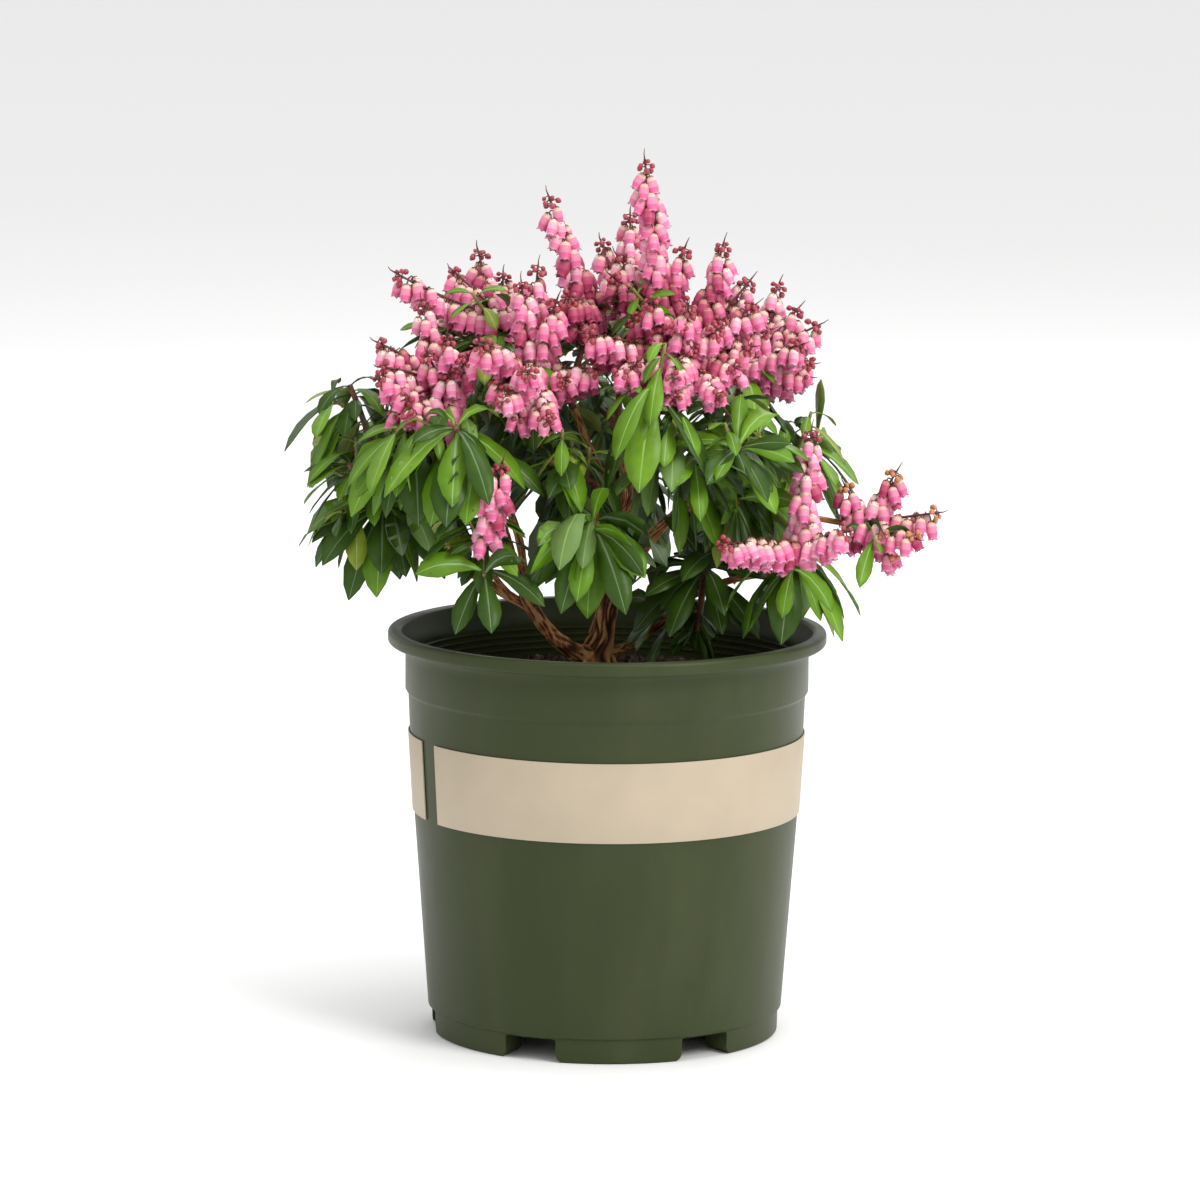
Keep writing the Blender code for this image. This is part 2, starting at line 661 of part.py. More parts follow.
def grow_stalks(thicket, mass, index, path, stalks):
    """The flower stalks of one shoot; a stalk turns aside where something is in its way."""
    tip, direction = along(path, 1.0)
    grown_stalks = []
    for k, (turn, rise, length, droop) in enumerate(stalks):
        start = tip - direction * (0.8 + 0.9 * k) * MM
        steps = 1 + (abs(droop) > 8) + (abs(droop) > 24)
        for sway in SIDESTEPS:
            points = stalk(start, turn + sway, rise, length * MM, droop, steps)
            tight = rod(points, RACHIS_RADII, 3)
            if thicket.clear(rod(points, RACHIS_RADII, 3, SPACE), mass, tight,
                             lambda other: other.shoot[0] == index):
                thicket.add(tight, mass, (index, len(grown_stalks)), True)
                grown_stalks.append(points)
                break
    return grown_stalks


def grow_bells(thicket, mass, line, points, chance):
    """Bells that hang on alternate sides along one flower stalk."""
    length = sum((b - a).length for a, b in zip(points, points[1:]))
    count = max(3, round(length * 0.86 / BELL_SPACING))
    phase = chance.uniform(0, 360)
    for k in range(count):
        t = 0.16 + 0.80 * k / (count - 1)
        spot, direction = along(points, t)
        side, up = across(direction, Vector((0.05, 0.02, 1.0)))
        for nudge in BELL_SIDESTEPS:
            angle = math.radians(phase + GOLDEN * k + nudge)
            outward = side * math.cos(angle) + up * math.sin(angle)
            outward.z *= 0.3
            tilt = math.tan(math.radians(BELL_TILT))
            hang = (Vector((0, 0, -1)) + outward.normalized() * tilt).normalized()
            top = spot - up * RACHIS_RADII[1] * 0.8
            tight = bell(top, hang, outward)
            if thicket.clear(bell(top, hang, outward, SPACE), mass, tight,
                             lambda other: other.shoot == line):
                thicket.add(tight, mass, (*line, k), True)
                break


def grow_leaves(thicket, mass, index, path, shoot, chance):
    """The leaves of one shoot, in a spiral down from its tip."""
    _, count, length, droop, stalks = shoot
    tip, direction = along(path, 1.0)
    axis = (direction + Vector((0, 0, 0.7))).normalized()
    side, up = across(axis, direction.cross(Vector((0, 0, 1))))
    phase = chance.uniform(0, 360)
    for k in range(count):
        down = (0.5 * MM + WHORL_DEPTH * k / count)
        root = tip - direction * down
        opening = WHORL_OPENING[0] + WHORL_OPENING[1] * k / count
        if stalks:
            opening += UNDER_FLOWERS
        for sway, part in LEAF_SIDESTEPS:
            angle = math.radians(phase + GOLDEN * k + sway)
            outward = side * math.cos(angle) + up * math.sin(angle)
            start = (axis * math.cos(math.radians(opening))
                     + outward * math.sin(math.radians(opening))).normalized()
            full = length * MM * part * (0.78 + 0.22 * min(1, 2 * (k + 1) / count))
            sag = droop * (0.75 + 0.35 * k / count)
            tight = leaf(root, start, axis, full, sag)
            if thicket.clear(leaf(root, start, axis, full, sag, SPACE), mass, tight,
                             lambda other: other.shoot[0] == index and not other.is_bell()):
                thicket.add(tight, mass, (index, "leaf"))
                break


def fuse(name, pieces, collection):
    """One object, joined by a Boolean union from a mass's pieces."""
    helpers = bpy.data.collections.new(f"{name}_pieces")
    bpy.context.scene.collection.children.link(helpers)
    made = add_object(name, pieces[0].shape, collection, "foliage")
    made.data.materials.append(material("blossom"))
    for k, piece in enumerate(pieces[1:]):
        helper = add_object(f"{name}_{k}", piece.shape, helpers, "foliage")
        helper.data.materials.append(material("blossom"))
        for face in helper.data.polygons:
            face.material_index = int(piece.blossom)
    join = made.modifiers.new("join", "BOOLEAN")
    join.operation = "UNION"
    join.solver = "MANIFOLD"
    join.operand_type = "COLLECTION"
    join.collection = helpers
    made.data = largest_shell(evaluated_mesh(made))
    made.modifiers.clear()
    for helper in list(helpers.objects):
        bpy.data.objects.remove(helper)
    bpy.data.collections.remove(helpers)
    return made


def make_foliage(collection, fixed, paths):
    """Every mass: twigs first, then stalks and bells, and leaves in what room is left."""
    thicket = Thicket(fixed)
    twigs, stalks = {}, {}
    for mass, (bough, shoots) in FOLIAGE.items():
        tip, direction = along(paths[bough], 1.0)
        twigs[mass] = grow_twigs(thicket, mass, paths[bough][-1], direction, shoots)
    for mass, (_, shoots) in FOLIAGE.items():
        for index, shoot in enumerate(shoots):
            stalks[mass, index] = grow_stalks(thicket, mass, index, twigs[mass][index], shoot[4])
    chance = random.Random(11)
    for (mass, index), lines in stalks.items():
        for k, points in enumerate(lines):
            grow_bells(thicket, mass, (index, k), points, chance)
    for mass, (_, shoots) in FOLIAGE.items():
        for index, shoot in enumerate(shoots):
            grow_leaves(thicket, mass, index, twigs[mass][index], shoot, chance)
    for mass in FOLIAGE:
        fuse(mass, [piece for piece in thicket.pieces if piece.mass == mass], collection)


def main():
    for thing in list(bpy.data.objects):
        bpy.data.objects.remove(thing, do_unlink=True)
    model = bpy.data.collections.new("potted_shrub")
    cutters = bpy.data.collections.new("cutters")
    for collection in (model, cutters):
        bpy.context.scene.collection.children.link(collection)
    pot = make_pot(model, cutters)
    label = make_label(model)
    soil = make_soil(model)
    limbs, paths = make_limbs(model, cutters)
    make_foliage(model, [pot, label, soil] + limbs, paths)


main()
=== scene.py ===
import math
import random

import bpy
from mathutils import Matrix, Vector, noise
from mathutils.bvhtree import BVHTree


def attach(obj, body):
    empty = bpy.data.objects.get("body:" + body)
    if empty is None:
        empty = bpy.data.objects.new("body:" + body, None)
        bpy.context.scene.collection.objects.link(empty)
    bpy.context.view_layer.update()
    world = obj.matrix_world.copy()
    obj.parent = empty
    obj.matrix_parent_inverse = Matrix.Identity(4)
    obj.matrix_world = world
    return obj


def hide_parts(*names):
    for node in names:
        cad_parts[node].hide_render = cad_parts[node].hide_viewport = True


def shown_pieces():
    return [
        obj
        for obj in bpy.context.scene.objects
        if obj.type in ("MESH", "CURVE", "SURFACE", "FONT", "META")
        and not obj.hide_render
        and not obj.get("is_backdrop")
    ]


# A flowering pieris in its nursery pot. Metres, +Z up; "turn" is in degrees round the pot's
# axis, 0 at the front and growing towards +X; "rise" is in degrees above the horizontal.
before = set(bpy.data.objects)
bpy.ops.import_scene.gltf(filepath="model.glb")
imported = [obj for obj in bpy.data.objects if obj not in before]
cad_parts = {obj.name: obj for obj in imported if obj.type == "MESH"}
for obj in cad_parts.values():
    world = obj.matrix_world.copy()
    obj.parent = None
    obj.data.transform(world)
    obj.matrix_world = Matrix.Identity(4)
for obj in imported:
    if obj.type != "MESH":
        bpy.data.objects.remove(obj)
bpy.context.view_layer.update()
mm = 0.001
golden = 137.5                # degrees from one leaf or bell to the next
anyTurn = 6.28                # radians, for what may face any way
upright = Vector((0, 0, 1))
print("frame loaded")

cameraSettings = {
    "lens": 196.0, "sensor": 36.0, "place": (-0.0029, -2.5, 0.5584),
    "pitch": 8.86, "roll": 0.42, "clipEnd": 60,
}
lightSettings = {
    "aim": (0, 0, 0.17), "sky": 0.84,
    "areas": {
        # place, size, watts, colour
        "keyRight": ((1.5, -1.4, 1.7), 1.0, 34, (1.0, 0.98, 0.95)),
        "fillLeft": ((-1.7, -1.3, 0.9), 1.6, 1.5, (0.95, 0.98, 1.0)),
        "rimBack": ((0.5, 1.5, 1.6), 1.2, 10, (1.0, 1.0, 1.0)),
        "topSoft": ((0.2, -0.2, 2.0), 1.0, 10, (1.0, 1.0, 1.0)),
    },
}


def newObject(name, data):
    made = bpy.data.objects.new(name, data)
    bpy.context.scene.collection.objects.link(made)
    return made


def makeCamera():
    s = cameraSettings
    data = bpy.data.cameras.new("camera")
    data.lens, data.sensor_width, data.clip_end = s["lens"], s["sensor"], s["clipEnd"]
    camera = newObject("camera", data)
    camera.location = s["place"]
    pitch = Matrix.Rotation(math.radians(90 - s["pitch"]), 3, "X")
    roll = Matrix.Rotation(math.radians(s["roll"]), 3, "Z")
    camera.rotation_euler = (pitch @ roll).to_euler()
    bpy.context.scene.camera = camera


def makeLights():
    for name, (place, size, watts, colour) in lightSettings["areas"].items():
        data = bpy.data.lights.new(name, "AREA")
        data.size, data.energy, data.color = size, watts, colour
        light = newObject(name, data)
        light.location = place
        aim = Vector(lightSettings["aim"]) - Vector(place)
        light.rotation_euler = aim.to_track_quat("-Z", "Y").to_euler()
    world = bpy.data.worlds.new("studio")
    world.use_nodes = True
    sky = world.node_tree.nodes["Background"].inputs
    sky["Color"].default_value = (1, 1, 1, 1)
    sky["Strength"].default_value = lightSettings["sky"]
    bpy.context.scene.world = world
    bpy.context.scene.view_settings.view_transform = "Standard"


makeCamera()
makeLights()
print("camera and lights")


# Node trees, for materials and for geometry

class Value:
    # wraps a socket, so that shader maths reads as an expression
    def __init__(self, nodes, socket):
        self.nodes, self.socket = nodes, socket

    def maths(self, operation, first, second):
        made = self.nodes.add("ShaderNodeMath", {"operation": operation}, {0: first, 1: second})
        return Value(self.nodes, made.outputs[0])

    def __add__(self, other):
        return self.maths("ADD", self, other)

    def __radd__(self, other):
        return self.maths("ADD", other, self)

    def __mul__(self, other):
        return self.maths("MULTIPLY", self, other)

    def __rmul__(self, other):
        return self.maths("MULTIPLY", other, self)


class Nodes:
    # one method makes every node: its type, its settings, then its sockets' values or links
    def __init__(self, tree):
        self.tree = tree

    def add(self, kind, settings=None, inputs=None):
        made = self.tree.nodes.new(kind)
        for name, value in (settings or {}).items():
            if name == "stops":
                ramp = made.color_ramp.elements
                for k, (place, colour) in enumerate(value):
                    stop = ramp[k] if k < 2 else ramp.new(place)
                    stop.position, stop.color = place, (*colour, 1)
            else:
                setattr(made, name, value)
        for name, value in (inputs or {}).items():
            if isinstance(name, int):
                socket = made.inputs[name]
            else:
                socket = next(s for s in made.inputs if s.name == name and s.enabled)
            if isinstance(value, Value):
                value = value.socket
            if isinstance(value, bpy.types.NodeSocket):
                self.tree.links.new(value, socket)
            else:
                socket.default_value = value
        return made


class Surface(Nodes):
    # a material with one Principled shader, and what varies over it
    def __init__(self, name, **constants):
        self.material = bpy.data.materials.new(name)
        self.material.use_nodes = True
        super().__init__(self.material.node_tree)
        self.shader = self.tree.nodes["Principled BSDF"].inputs
        for label, value in constants.items():
            self.shader[label.replace("_", " ")].default_value = value
        self.place = self.add("ShaderNodeTexCoord").outputs["Object"]

    def noise(self, scale, detail, stretch=(1, 1, 1), rough=0.55):
        mapping = self.add("ShaderNodeMapping", None, {"Vector": self.place, "Scale": stretch})
        made = self.add("ShaderNodeTexNoise", None, {
            "Vector": mapping.outputs[0], "Scale": scale, "Detail": detail, "Roughness": rough})
        return Value(self, made.outputs["Fac"])

    def colour(self, value, stops):
        ramp = self.add("ShaderNodeValToRGB", {"stops": stops}, {"Fac": value})
        self.tree.links.new(ramp.outputs["Color"], self.shader["Base Color"])

    def roughness(self, value):
        self.tree.links.new(value.socket, self.shader["Roughness"])

    def bump(self, height, depth):
        made = self.add("ShaderNodeBump", None, {"Height": height, "Distance": depth})
        self.tree.links.new(made.outputs["Normal"], self.shader["Normal"])


def shade(colour, part):
    return tuple(min(1.0, c * part) for c in colour)


mottleSettings = {"stops": (0.3, 0.7), "detail": 4.0, "roughSwing": 0.16,
                  "reliefFiner": 6, "reliefDetail": 2.0}


def mottled(name, colour, scale, spread, roughness, relief, **constants):
    # a colour that drifts a little either way, with roughness and fine relief to match
    s, surface = mottleSettings, Surface(name, **constants)
    grain = surface.noise(scale, s["detail"])
    surface.colour(grain, [(s["stops"][0], shade(colour, 1 - spread)),
                           (s["stops"][1], shade(colour, 1 + spread))])
    surface.roughness(grain * s["roughSwing"] + (roughness - s["roughSwing"] / 2))
    surface.bump(surface.noise(scale * s["reliefFiner"], s["reliefDetail"]), relief)
    return surface.material


potFinish = {
    "colour": (0.034, 0.045, 0.014), "deepest": 0.86, "dusted": (0.047, 0.059, 0.022),
    "stops": (0.32, 0.5, 0.72), "specular": 0.20, "roughness": 0.30, "roughSwing": 0.22,
    # scale, detail and stretch along the pot, and what each gives to the tone
    "clouds": (14, 4.0, (1, 1, 0.5)), "dust": (60, 5.0, (1, 1, 0.35)), "parts": (0.65, 0.35),
    "pits": (1400, 2.0), "pitDepth": 0.00006,
}


def potPlastic():
    s = potFinish
    surface = Surface("potPlastic", Specular_IOR_Level=s["specular"])
    clouds, dust = surface.noise(*s["clouds"]), surface.noise(*s["dust"])
    tone = clouds * s["parts"][0] + dust * s["parts"][1]
    tints = (shade(s["colour"], s["deepest"]), s["colour"], s["dusted"])
    surface.colour(tone, list(zip(s["stops"], tints)))
    surface.roughness(dust * s["roughSwing"] + s["roughness"])
    surface.bump(surface.noise(*s["pits"]), s["pitDepth"])
    return surface.material


barkFinish = {
    # from the furrows up to the crests of the ridges: the bark's own colour, with painted shade in
    # the furrows and painted highlight on the crests
    "stops": [(0.36, (0.045, 0.018, 0.008)), (0.58, (0.18, 0.068, 0.026)),
              (0.78, (0.42, 0.185, 0.070)), (0.96, (0.66, 0.37, 0.16))],
    "ridgePart": 0.72, "grainPart": 0.36, "specular": 0.25, "roughness": 0.68, "roughSwing": 0.2,
    "grain": (520, 6.0, (1, 1, 0.5), 0.65), "fibre": (900, 5.0, (1, 1, 0.3)), "fibreDepth": 0.0004,
}


def barkSurface():
    s = barkFinish
    surface = Surface("bark", Specular_IOR_Level=s["specular"])
    grain = surface.noise(*s["grain"])
    # darker in the furrows and lighter on the crests: partly the bark's own colour, partly painted
    # shade and painted highlight
    ridge = surface.add("ShaderNodeAttribute", {"attribute_name": "ridge"})
    tone = Value(surface, ridge.outputs["Fac"]) * s["ridgePart"] + grain * s["grainPart"]
    surface.colour(tone, s["stops"])
    surface.roughness(grain * s["roughSwing"] + s["roughness"])
    surface.bump(surface.noise(*s["fibre"]), s["fibreDepth"])
    return surface.material


leafTints = {
    # the deep tint is partly painted shade inside the crown and at the back, and the fresh tint
    # partly painted light on the right and front
    "leafDeep": (0.034, 0.082, 0.005),
    "leafMid": (0.100, 0.220, 0.008),
    "leafFresh": (0.135, 0.275, 0.016),
    "leafOlive": (0.225, 0.300, 0.030),
}
leafSides = [
    # name's ending, part of the tint, paleness added, (scale, spread, roughness, relief), gloss
    ("", 1, 0, (90, 0.20, 0.40, 0.00010),
     {"Specular_IOR_Level": 0.22, "Coat_Weight": 0.04, "Coat_Roughness": 0.2}),
    ("Under", 0.8, 0.035, (120, 0.12, 0.6, 0.0001), {}),
    ("Rib", 1.25, 0.075, (200, 0.08, 0.42, 0.00005), {}),
]
bellTints = {
    # shoulder, upper body, lower body, lobes
    "bellRose": ((0.78, 0.50, 0.42), (0.80, 0.25, 0.39), (0.72, 0.13, 0.31), (0.82, 0.28, 0.44)),
    "bellPale": ((0.84, 0.66, 0.57), (0.85, 0.40, 0.51), (0.80, 0.22, 0.40), (0.86, 0.41, 0.54)),
    # the deepest tint: a few bells by chance, and all bells in the middle of the crown as painted
    # shade
    "bellDeep": ((0.55, 0.22, 0.20), (0.48, 0.075, 0.16), (0.38, 0.035, 0.10), (0.48, 0.09, 0.18)),
}
bellFinish = {"grain": (160, 0.07, 0.45, 0.00005), "specular": 0.30}
plainFinishes = {
    # colour, scale, spread, roughness, relief, coat
    "bandPrint": ((0.455, 0.378, 0.275), 60, 0.04, 0.55, 0.00003, 0.0),
    "soilMix": ((0.028, 0.017, 0.011), 260, 0.55, 0.92, 0.0008, 0.0),
    "chipDark": ((0.045, 0.024, 0.014), 300, 0.45, 0.88, 0.0004, 0.0),
    "chipBrown": ((0.075, 0.040, 0.023), 300, 0.40, 0.85, 0.0004, 0.0),
    "twigRed": ((0.19, 0.068, 0.034), 350, 0.30, 0.55, 0.0002, 0.0),
    "twigGreen": ((0.22, 0.19, 0.055), 350, 0.25, 0.50, 0.0001, 0.0),
    "maroon": ((0.13, 0.022, 0.020), 400, 0.25, 0.45, 0.00005, 0.0),
    "budRed": ((0.34, 0.035, 0.060), 300, 0.20, 0.38, 0.00005, 0.2),
    "budRust": ((0.50, 0.20, 0.085), 300, 0.20, 0.42, 0.00005, 0.0),
    "calyx": ((0.42, 0.17, 0.10), 300, 0.20, 0.45, 0.00005, 0.0),
}


def leafSurfaces(name):
    made = []
    for ending, part, added, grain, gloss in leafSides:
        tint = tuple(c * part + added for c in leafTints[name])
        made.append(mottled(name + ending, tint, *grain, **gloss))
    return made


def bellSurfaces(name):
    return [mottled(name + part, colour, *bellFinish["grain"],
                    Specular_IOR_Level=bellFinish["specular"])
            for part, colour in zip(("Shoulder", "Upper", "Lower", "Lobes"), bellTints[name])]


surfaces = {"potPlastic": potPlastic(), "bark": barkSurface()}
for name, (*finish, coat) in plainFinishes.items():
    surfaces[name] = mottled(name, *finish, Coat_Weight=coat)
print("materials")


# Meshes

class Shape:
    # gathers small parts into one mesh; each face has the number of its material
    def __init__(self):
        self.points, self.faces, self.kinds = [], [], []

    def add(self, points, faces, kinds=0):
        base = len(self.points)
        self.points += points
        self.faces += [tuple(base + k for k in face) for face in faces]
        self.kinds += kinds if isinstance(kinds, list) else [kinds] * len(faces)

    def make(self, name, materials):
        mesh = bpy.data.meshes.new(name)
        mesh.from_pydata([tuple(point) for point in self.points], [], self.faces)
        for material in materials:
            mesh.materials.append(material)
        mesh.polygons.foreach_set("material_index", self.kinds)
        mesh.polygons.foreach_set("use_smooth", [True] * len(self.faces))
        return newObject(name, mesh)


def ridden(piece, slot, *nodes):
    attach(piece, "root")
    if nodes:
        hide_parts(*nodes)


def heading(turn, rise):
    turn, rise = math.radians(turn), math.radians(rise)
    return Vector((math.sin(turn) * math.cos(rise), -math.cos(turn) * math.cos(rise),
                   math.sin(rise)))


def placeAt(turn, reach, height):
    # a point from its turn, and its reach and height in millimetres
    return heading(turn, 0) * reach * mm + Vector((0, 0, height * mm))


def bow(start, leaving, end, steps):
    # a path that sets off one way and bends over to its end
    knee = start + leaving * (end - start).length * limbSettings["bow"]
    points = []
    for step in range(steps + 1):
        t = step / steps
        points.append(start * (1 - t) ** 2 + knee * 2 * t * (1 - t) + end * t * t)
    return points


def stalk(start, turn, rise, length, droop, steps):
    # a path whose rise falls by its droop from root to tip
    points = [start.copy()]
    for step in range(steps):
        here = rise - droop * (step + 0.5) / steps
        points.append(points[-1] + heading(turn, here) * length / steps)
    return points


def along(points, t):
    # the place and the direction at part t of a path; its end is taken just short of 1
    spot = min(t, 0.9999) * (len(points) - 1)
    step = int(spot)
    return points[step].lerp(points[step + 1], spot - step), \
        (points[step + 1] - points[step]).normalized()


def lengthOf(points):
    return sum((b - a).length for a, b in zip(points, points[1:]))


def across(direction, hint):
    up = (hint - direction * hint.dot(direction)).normalized()
    return direction.cross(up), up


def spoke(side, up, degrees):
    # a direction straight out from a path
    angle = math.radians(degrees)
    return side * math.cos(angle) + up * math.sin(angle)


def ring(centre, direction, hint, radii):
    side, up = across(direction, hint)
    points = []
    for k, radius in enumerate(radii):
        angle = 2 * math.pi * k / len(radii)
        points.append(centre + (up * math.cos(angle) + side * math.sin(angle)) * radius)
    return points


def levelRing(height, radii):
    return ring(upright * height, upright, Vector((1, 0, 0)), radii)


def loft(rings):
    # faces from ring to ring; a ring of one point is a tip, and the ends are closed
    points, faces, first = [], [], []
    for section in rings:
        first.append(len(points))
        points += section
    for near, far, a, b in zip(rings, rings[1:], first, first[1:]):
        count = max(len(near), len(far))
        for k in range(count):
            j = (k + 1) % count
            if len(near) == 1:
                faces.append((a, b + j, b + k))
            elif len(far) == 1:
                faces.append((a + k, a + j, b))
            else:
                faces.append((a + k, a + j, b + j, b + k))
    if len(rings[0]) > 1:
        faces.append(tuple(reversed(range(len(rings[0])))))
    if len(rings[-1]) > 1:
        faces.append(tuple(range(first[-1], first[-1] + len(rings[-1]))))
    return points, faces


def stations(points, hint):
    # each point of a path with its direction, and a hint that twists as little as it can
    for k, point in enumerate(points):
        ahead, behind = points[min(k + 1, len(points) - 1)], points[max(k - 1, 0)]
        direction = (ahead - behind).normalized()
        _, hint = across(direction, hint)
        yield k, point, direction, hint


def rod(points, radii, sides, grow=0.0, swell=None):
    rings = []
    for k, point, direction, hint in stations(points, Vector((0.36, 0.48, 0.8))):
        radius = radii[0] + (radii[1] - radii[0]) * k / (len(points) - 1) + grow
        if swell:
            radius *= swell(k)
        rings.append(ring(point, direction, hint, [radius] * sides))
    return loft(rings)


# The limbs, by the rule that the solids follow

limbSettings = {
    "bow": 0.38, "soilTop": 0.1410, "steps": (8, 5),        # of the trunk, of a bough
    "foot": (-4.5, 15.0), "tip": (131.0, 12.0, 204.0), "lean": (75.0, 78.0), "rootStep": 0.45,
    "radii": (5.0, 2.5), "taper": 0.6, "flare": 4.2, "flareHeight": 5.0,
    "collar": 0.35, "collarFade": 14, "oldSwell": 0.12,
    # a bough's age from its radius: the least age, the radius at 0 and the rise from 0 to 1
    "age": (0.25, 1.2, 1.5),
    "fineSteps": (110, 64), "sides": (56, 24),
}
barkSettings = {
    "sway": 0.5, "swayPitch": 0.11,      # how far the furrows wander round a limb, and how soon
    "round": 2.1, "run": 0.085,          # the ridges' scale round the limb and along it
    "own": (90, 300, 200),               # times its tip, so that no two limbs match
    "sharp": 3.4, "furrow": 0.34, "level": 0.45, "knotScale": 0.4, "knot": 0.12,
    # the colour contrast is partly painted shade in the furrows and painted highlight on the crests
    "contrast": (0.45, 0.55),            # in colour: of smooth bark, and what age adds
}
# name: parent, place along it, (turn, rise) on leaving, (turn, reach, height) of the tip, radii
boughs = {
    "bough_left": ("trunk", 0.14, (-56, 3), (-77, 47, 220), (2.7, 1.7)),
    "bough_far_left": ("bough_left", 0.50, (-84, 26), (-91, 81, 198), (1.9, 1.3)),
    "bough_left_top": ("bough_left", 0.80, (-110, 70), (-98, 45, 248), (1.5, 1.2)),
    "bough_left_spur": ("bough_far_left", 0.18, (-30, 30), (-55, 56, 187), (1.3, 1.1)),
    "bough_left_back": ("bough_far_left", 0.55, (-150, 35), (-109, 79, 204), (1.4, 1.1)),
    "bough_back_left": ("bough_left", 0.62, (170, 40), (-127, 56, 212), (1.7, 1.3)),
    "bough_right_low": ("trunk", 0.10, (118, 8), (93, 37, 176), (2.1, 1.4)),
    "bough_right": ("bough_right_low", 0.84, (60, 35), (74, 70, 183), (1.5, 1.2)),
    "bough_back_right": ("trunk", 0.42, (165, 38), (128, 48, 212), (1.8, 1.3)),
    "bough_front": ("trunk", 0.60, (-10, 40), (5, 24, 215), (1.8, 1.3)),
    "bough_right_up": ("trunk", 0.78, (92, 28), (92, 38, 215), (1.9, 1.3)),
    "bough_far_right": ("bough_right_up", 0.70, (100, 5), (91, 92, 199), (1.3, 1.1)),
    "bough_back": ("trunk", 0.84, (175, 45), (174, 42, 226), (1.7, 1.3)),
    "bough_top_left": ("trunk", 0.90, (-95, 62), (-103, 14, 243), (1.8, 1.4)),
    "bough_front_up": ("trunk", 0.93, (20, 50), (36, 24, 239), (1.7, 1.3)),
    "bough_top": ("trunk", 0.99, (95, 80), (97, 18, 257), (2.0, 1.4)),
}


def trunkPath(steps):
    s = limbSettings
    foot = Vector((s["foot"][0] * mm, s["foot"][1] * mm, s["soilTop"]))
    points = bow(foot, heading(*s["lean"]), placeAt(*s["tip"]), steps)
    return [points[0], points[0].lerp(points[1], s["rootStep"])] + points[1:]


def limbPaths():
    paths = {"trunk": trunkPath(limbSettings["steps"][0])}
    for name, (parent, at, leaving, tip, _) in boughs.items():
        start, _ = along(paths[parent], at)
        paths[name] = bow(start, heading(*leaving), placeAt(*tip), limbSettings["steps"][1])
    return paths


def barkedLimb(shape, ridges, points, radii, sides, age):
    # a limb whose furrows run along it; age from 0, smooth, to 1, deeply furrowed
    s, tip, rings, run = barkSettings, points[-1], [], 0.0
    for k, point, direction, hint in stations(points, Vector((0.6, 0.8, 0.0))):
        run += (point - points[max(k - 1, 0)]).length / mm
        sway = s["sway"] * noise.noise(Vector((run * s["swayPitch"], tip.x * s["own"][0], 0)))
        section = []
        for j in range(sides):
            angle = 2 * math.pi * j / sides + sway
            spot = Vector((math.cos(angle) * s["round"], math.sin(angle) * s["round"],
                           run * s["run"]))
            ridge = 1 - min(1.0, abs(noise.noise(spot + tip * s["own"][1])) * s["sharp"])
            knot = noise.noise(spot * s["knotScale"] + tip * s["own"][2])
            part = 1 + s["furrow"] * age * (s["level"] - ridge) + s["knot"] * knot
            # the colour value, darker in the furrows and lighter on the crests: partly the bark's own
            # colour, partly painted shade and painted highlight
            ridges.append(1 - ridge * (s["contrast"][0] + s["contrast"][1] * age))
            section.append(radii[k] * part)
        rings.append(ring(point, direction, hint, section))
    shape.add(*loft(rings))


def makeLimbs(paths):
    s, shape, ridges = limbSettings, Shape(), []
    points = trunkPath(s["fineSteps"][0])
    first, last = s["radii"]
    radii = []
    for k, point in enumerate(points):
        radius = (first + (last - first) * (k / (len(points) - 1)) ** s["taper"]) * mm
        lift = (point.z - points[0].z) / mm
        radii.append(radius + s["flare"] * mm * math.exp(-lift / s["flareHeight"]))
    barkedLimb(shape, ridges, points, radii, s["sides"][0], 1.0)
    leastAge, youngest, span = s["age"]
    for name, (_, _, leaving, tip, (first, last)) in boughs.items():
        path = bow(paths[name][0], heading(*leaving), placeAt(*tip), s["fineSteps"][1])
        age = max(leastAge, (first - youngest) / span)
        radii = []
        for k in range(len(path)):
            t = k / (len(path) - 1)
            collar = 1 + s["collar"] * math.exp(-t * s["collarFade"])
            radius = (first + (last - first) * t) * mm * collar
            radii.append(radius * (1 + s["oldSwell"] * age))
        barkedLimb(shape, ridges, path, radii, s["sides"][1], age)
    piece = shape.make("limbs", [surfaces["bark"]])
    piece.data.attributes.new("ridge", "FLOAT", "POINT").data.foreach_set("value", ridges)
    ridden(piece, "bark", "trunk", *boughs)


paths = limbPaths()
makeLimbs(paths)
print("limbs")


# The pot, its band and what fills it, in millimetres

potSettings = {
    "steps": 180, "smoothBelow": 32,     # degrees between faces
    "height": 157.6, "rim": 85.0, "lipBottom": 152.3, "lipWidth": 5.4, "lipRound": 1.6,
    "underLip": 5.4,                     # how far down the lip's flare runs into the collar
    "collar": 78.2, "collarBottom": 134.0, "step": 77.0,
    "bandTop": (76.4, 118.0), "bandBottom": (74.6, 87.1),
    "footHeight": 9.8, "wallFoot": 68.9, "foot": 67.7, "footDepth": 14.0, "footRound": 1.2,
    "floorUnder": 9.2, "wall": 1.5, "floor": 2.1, "floorBevel": 3, "pad": 16.0,
    "feet": 6, "notchTurn": 35.0, "notchWidth": 21.0, "notchFlare": 1.6, "notchRound": 0.8,
    "drain": (9.0, 9.0), "drainCentre": 60.5,
    "ribs": 4, "ribPitch": 2.6, "ribDepth": 0.35, "ribDrop": 1.2, "ribHalf": (0.7, 0.2),
}
bandSettings = {"turns": (-59.0, 292.7), "steps": 176, "proud": 0.45, "gap": 0.25,
                "bevel": (0.1, 0.15), "smoothBelow": 40}


def arc(centre, radius, first, last, steps):
    points = []
    for k in range(steps + 1):
        angle = math.radians(first + (last - first) * k / steps)
        points.append((centre[0] + radius * math.cos(angle), centre[1] + radius * math.sin(angle)))
    return points


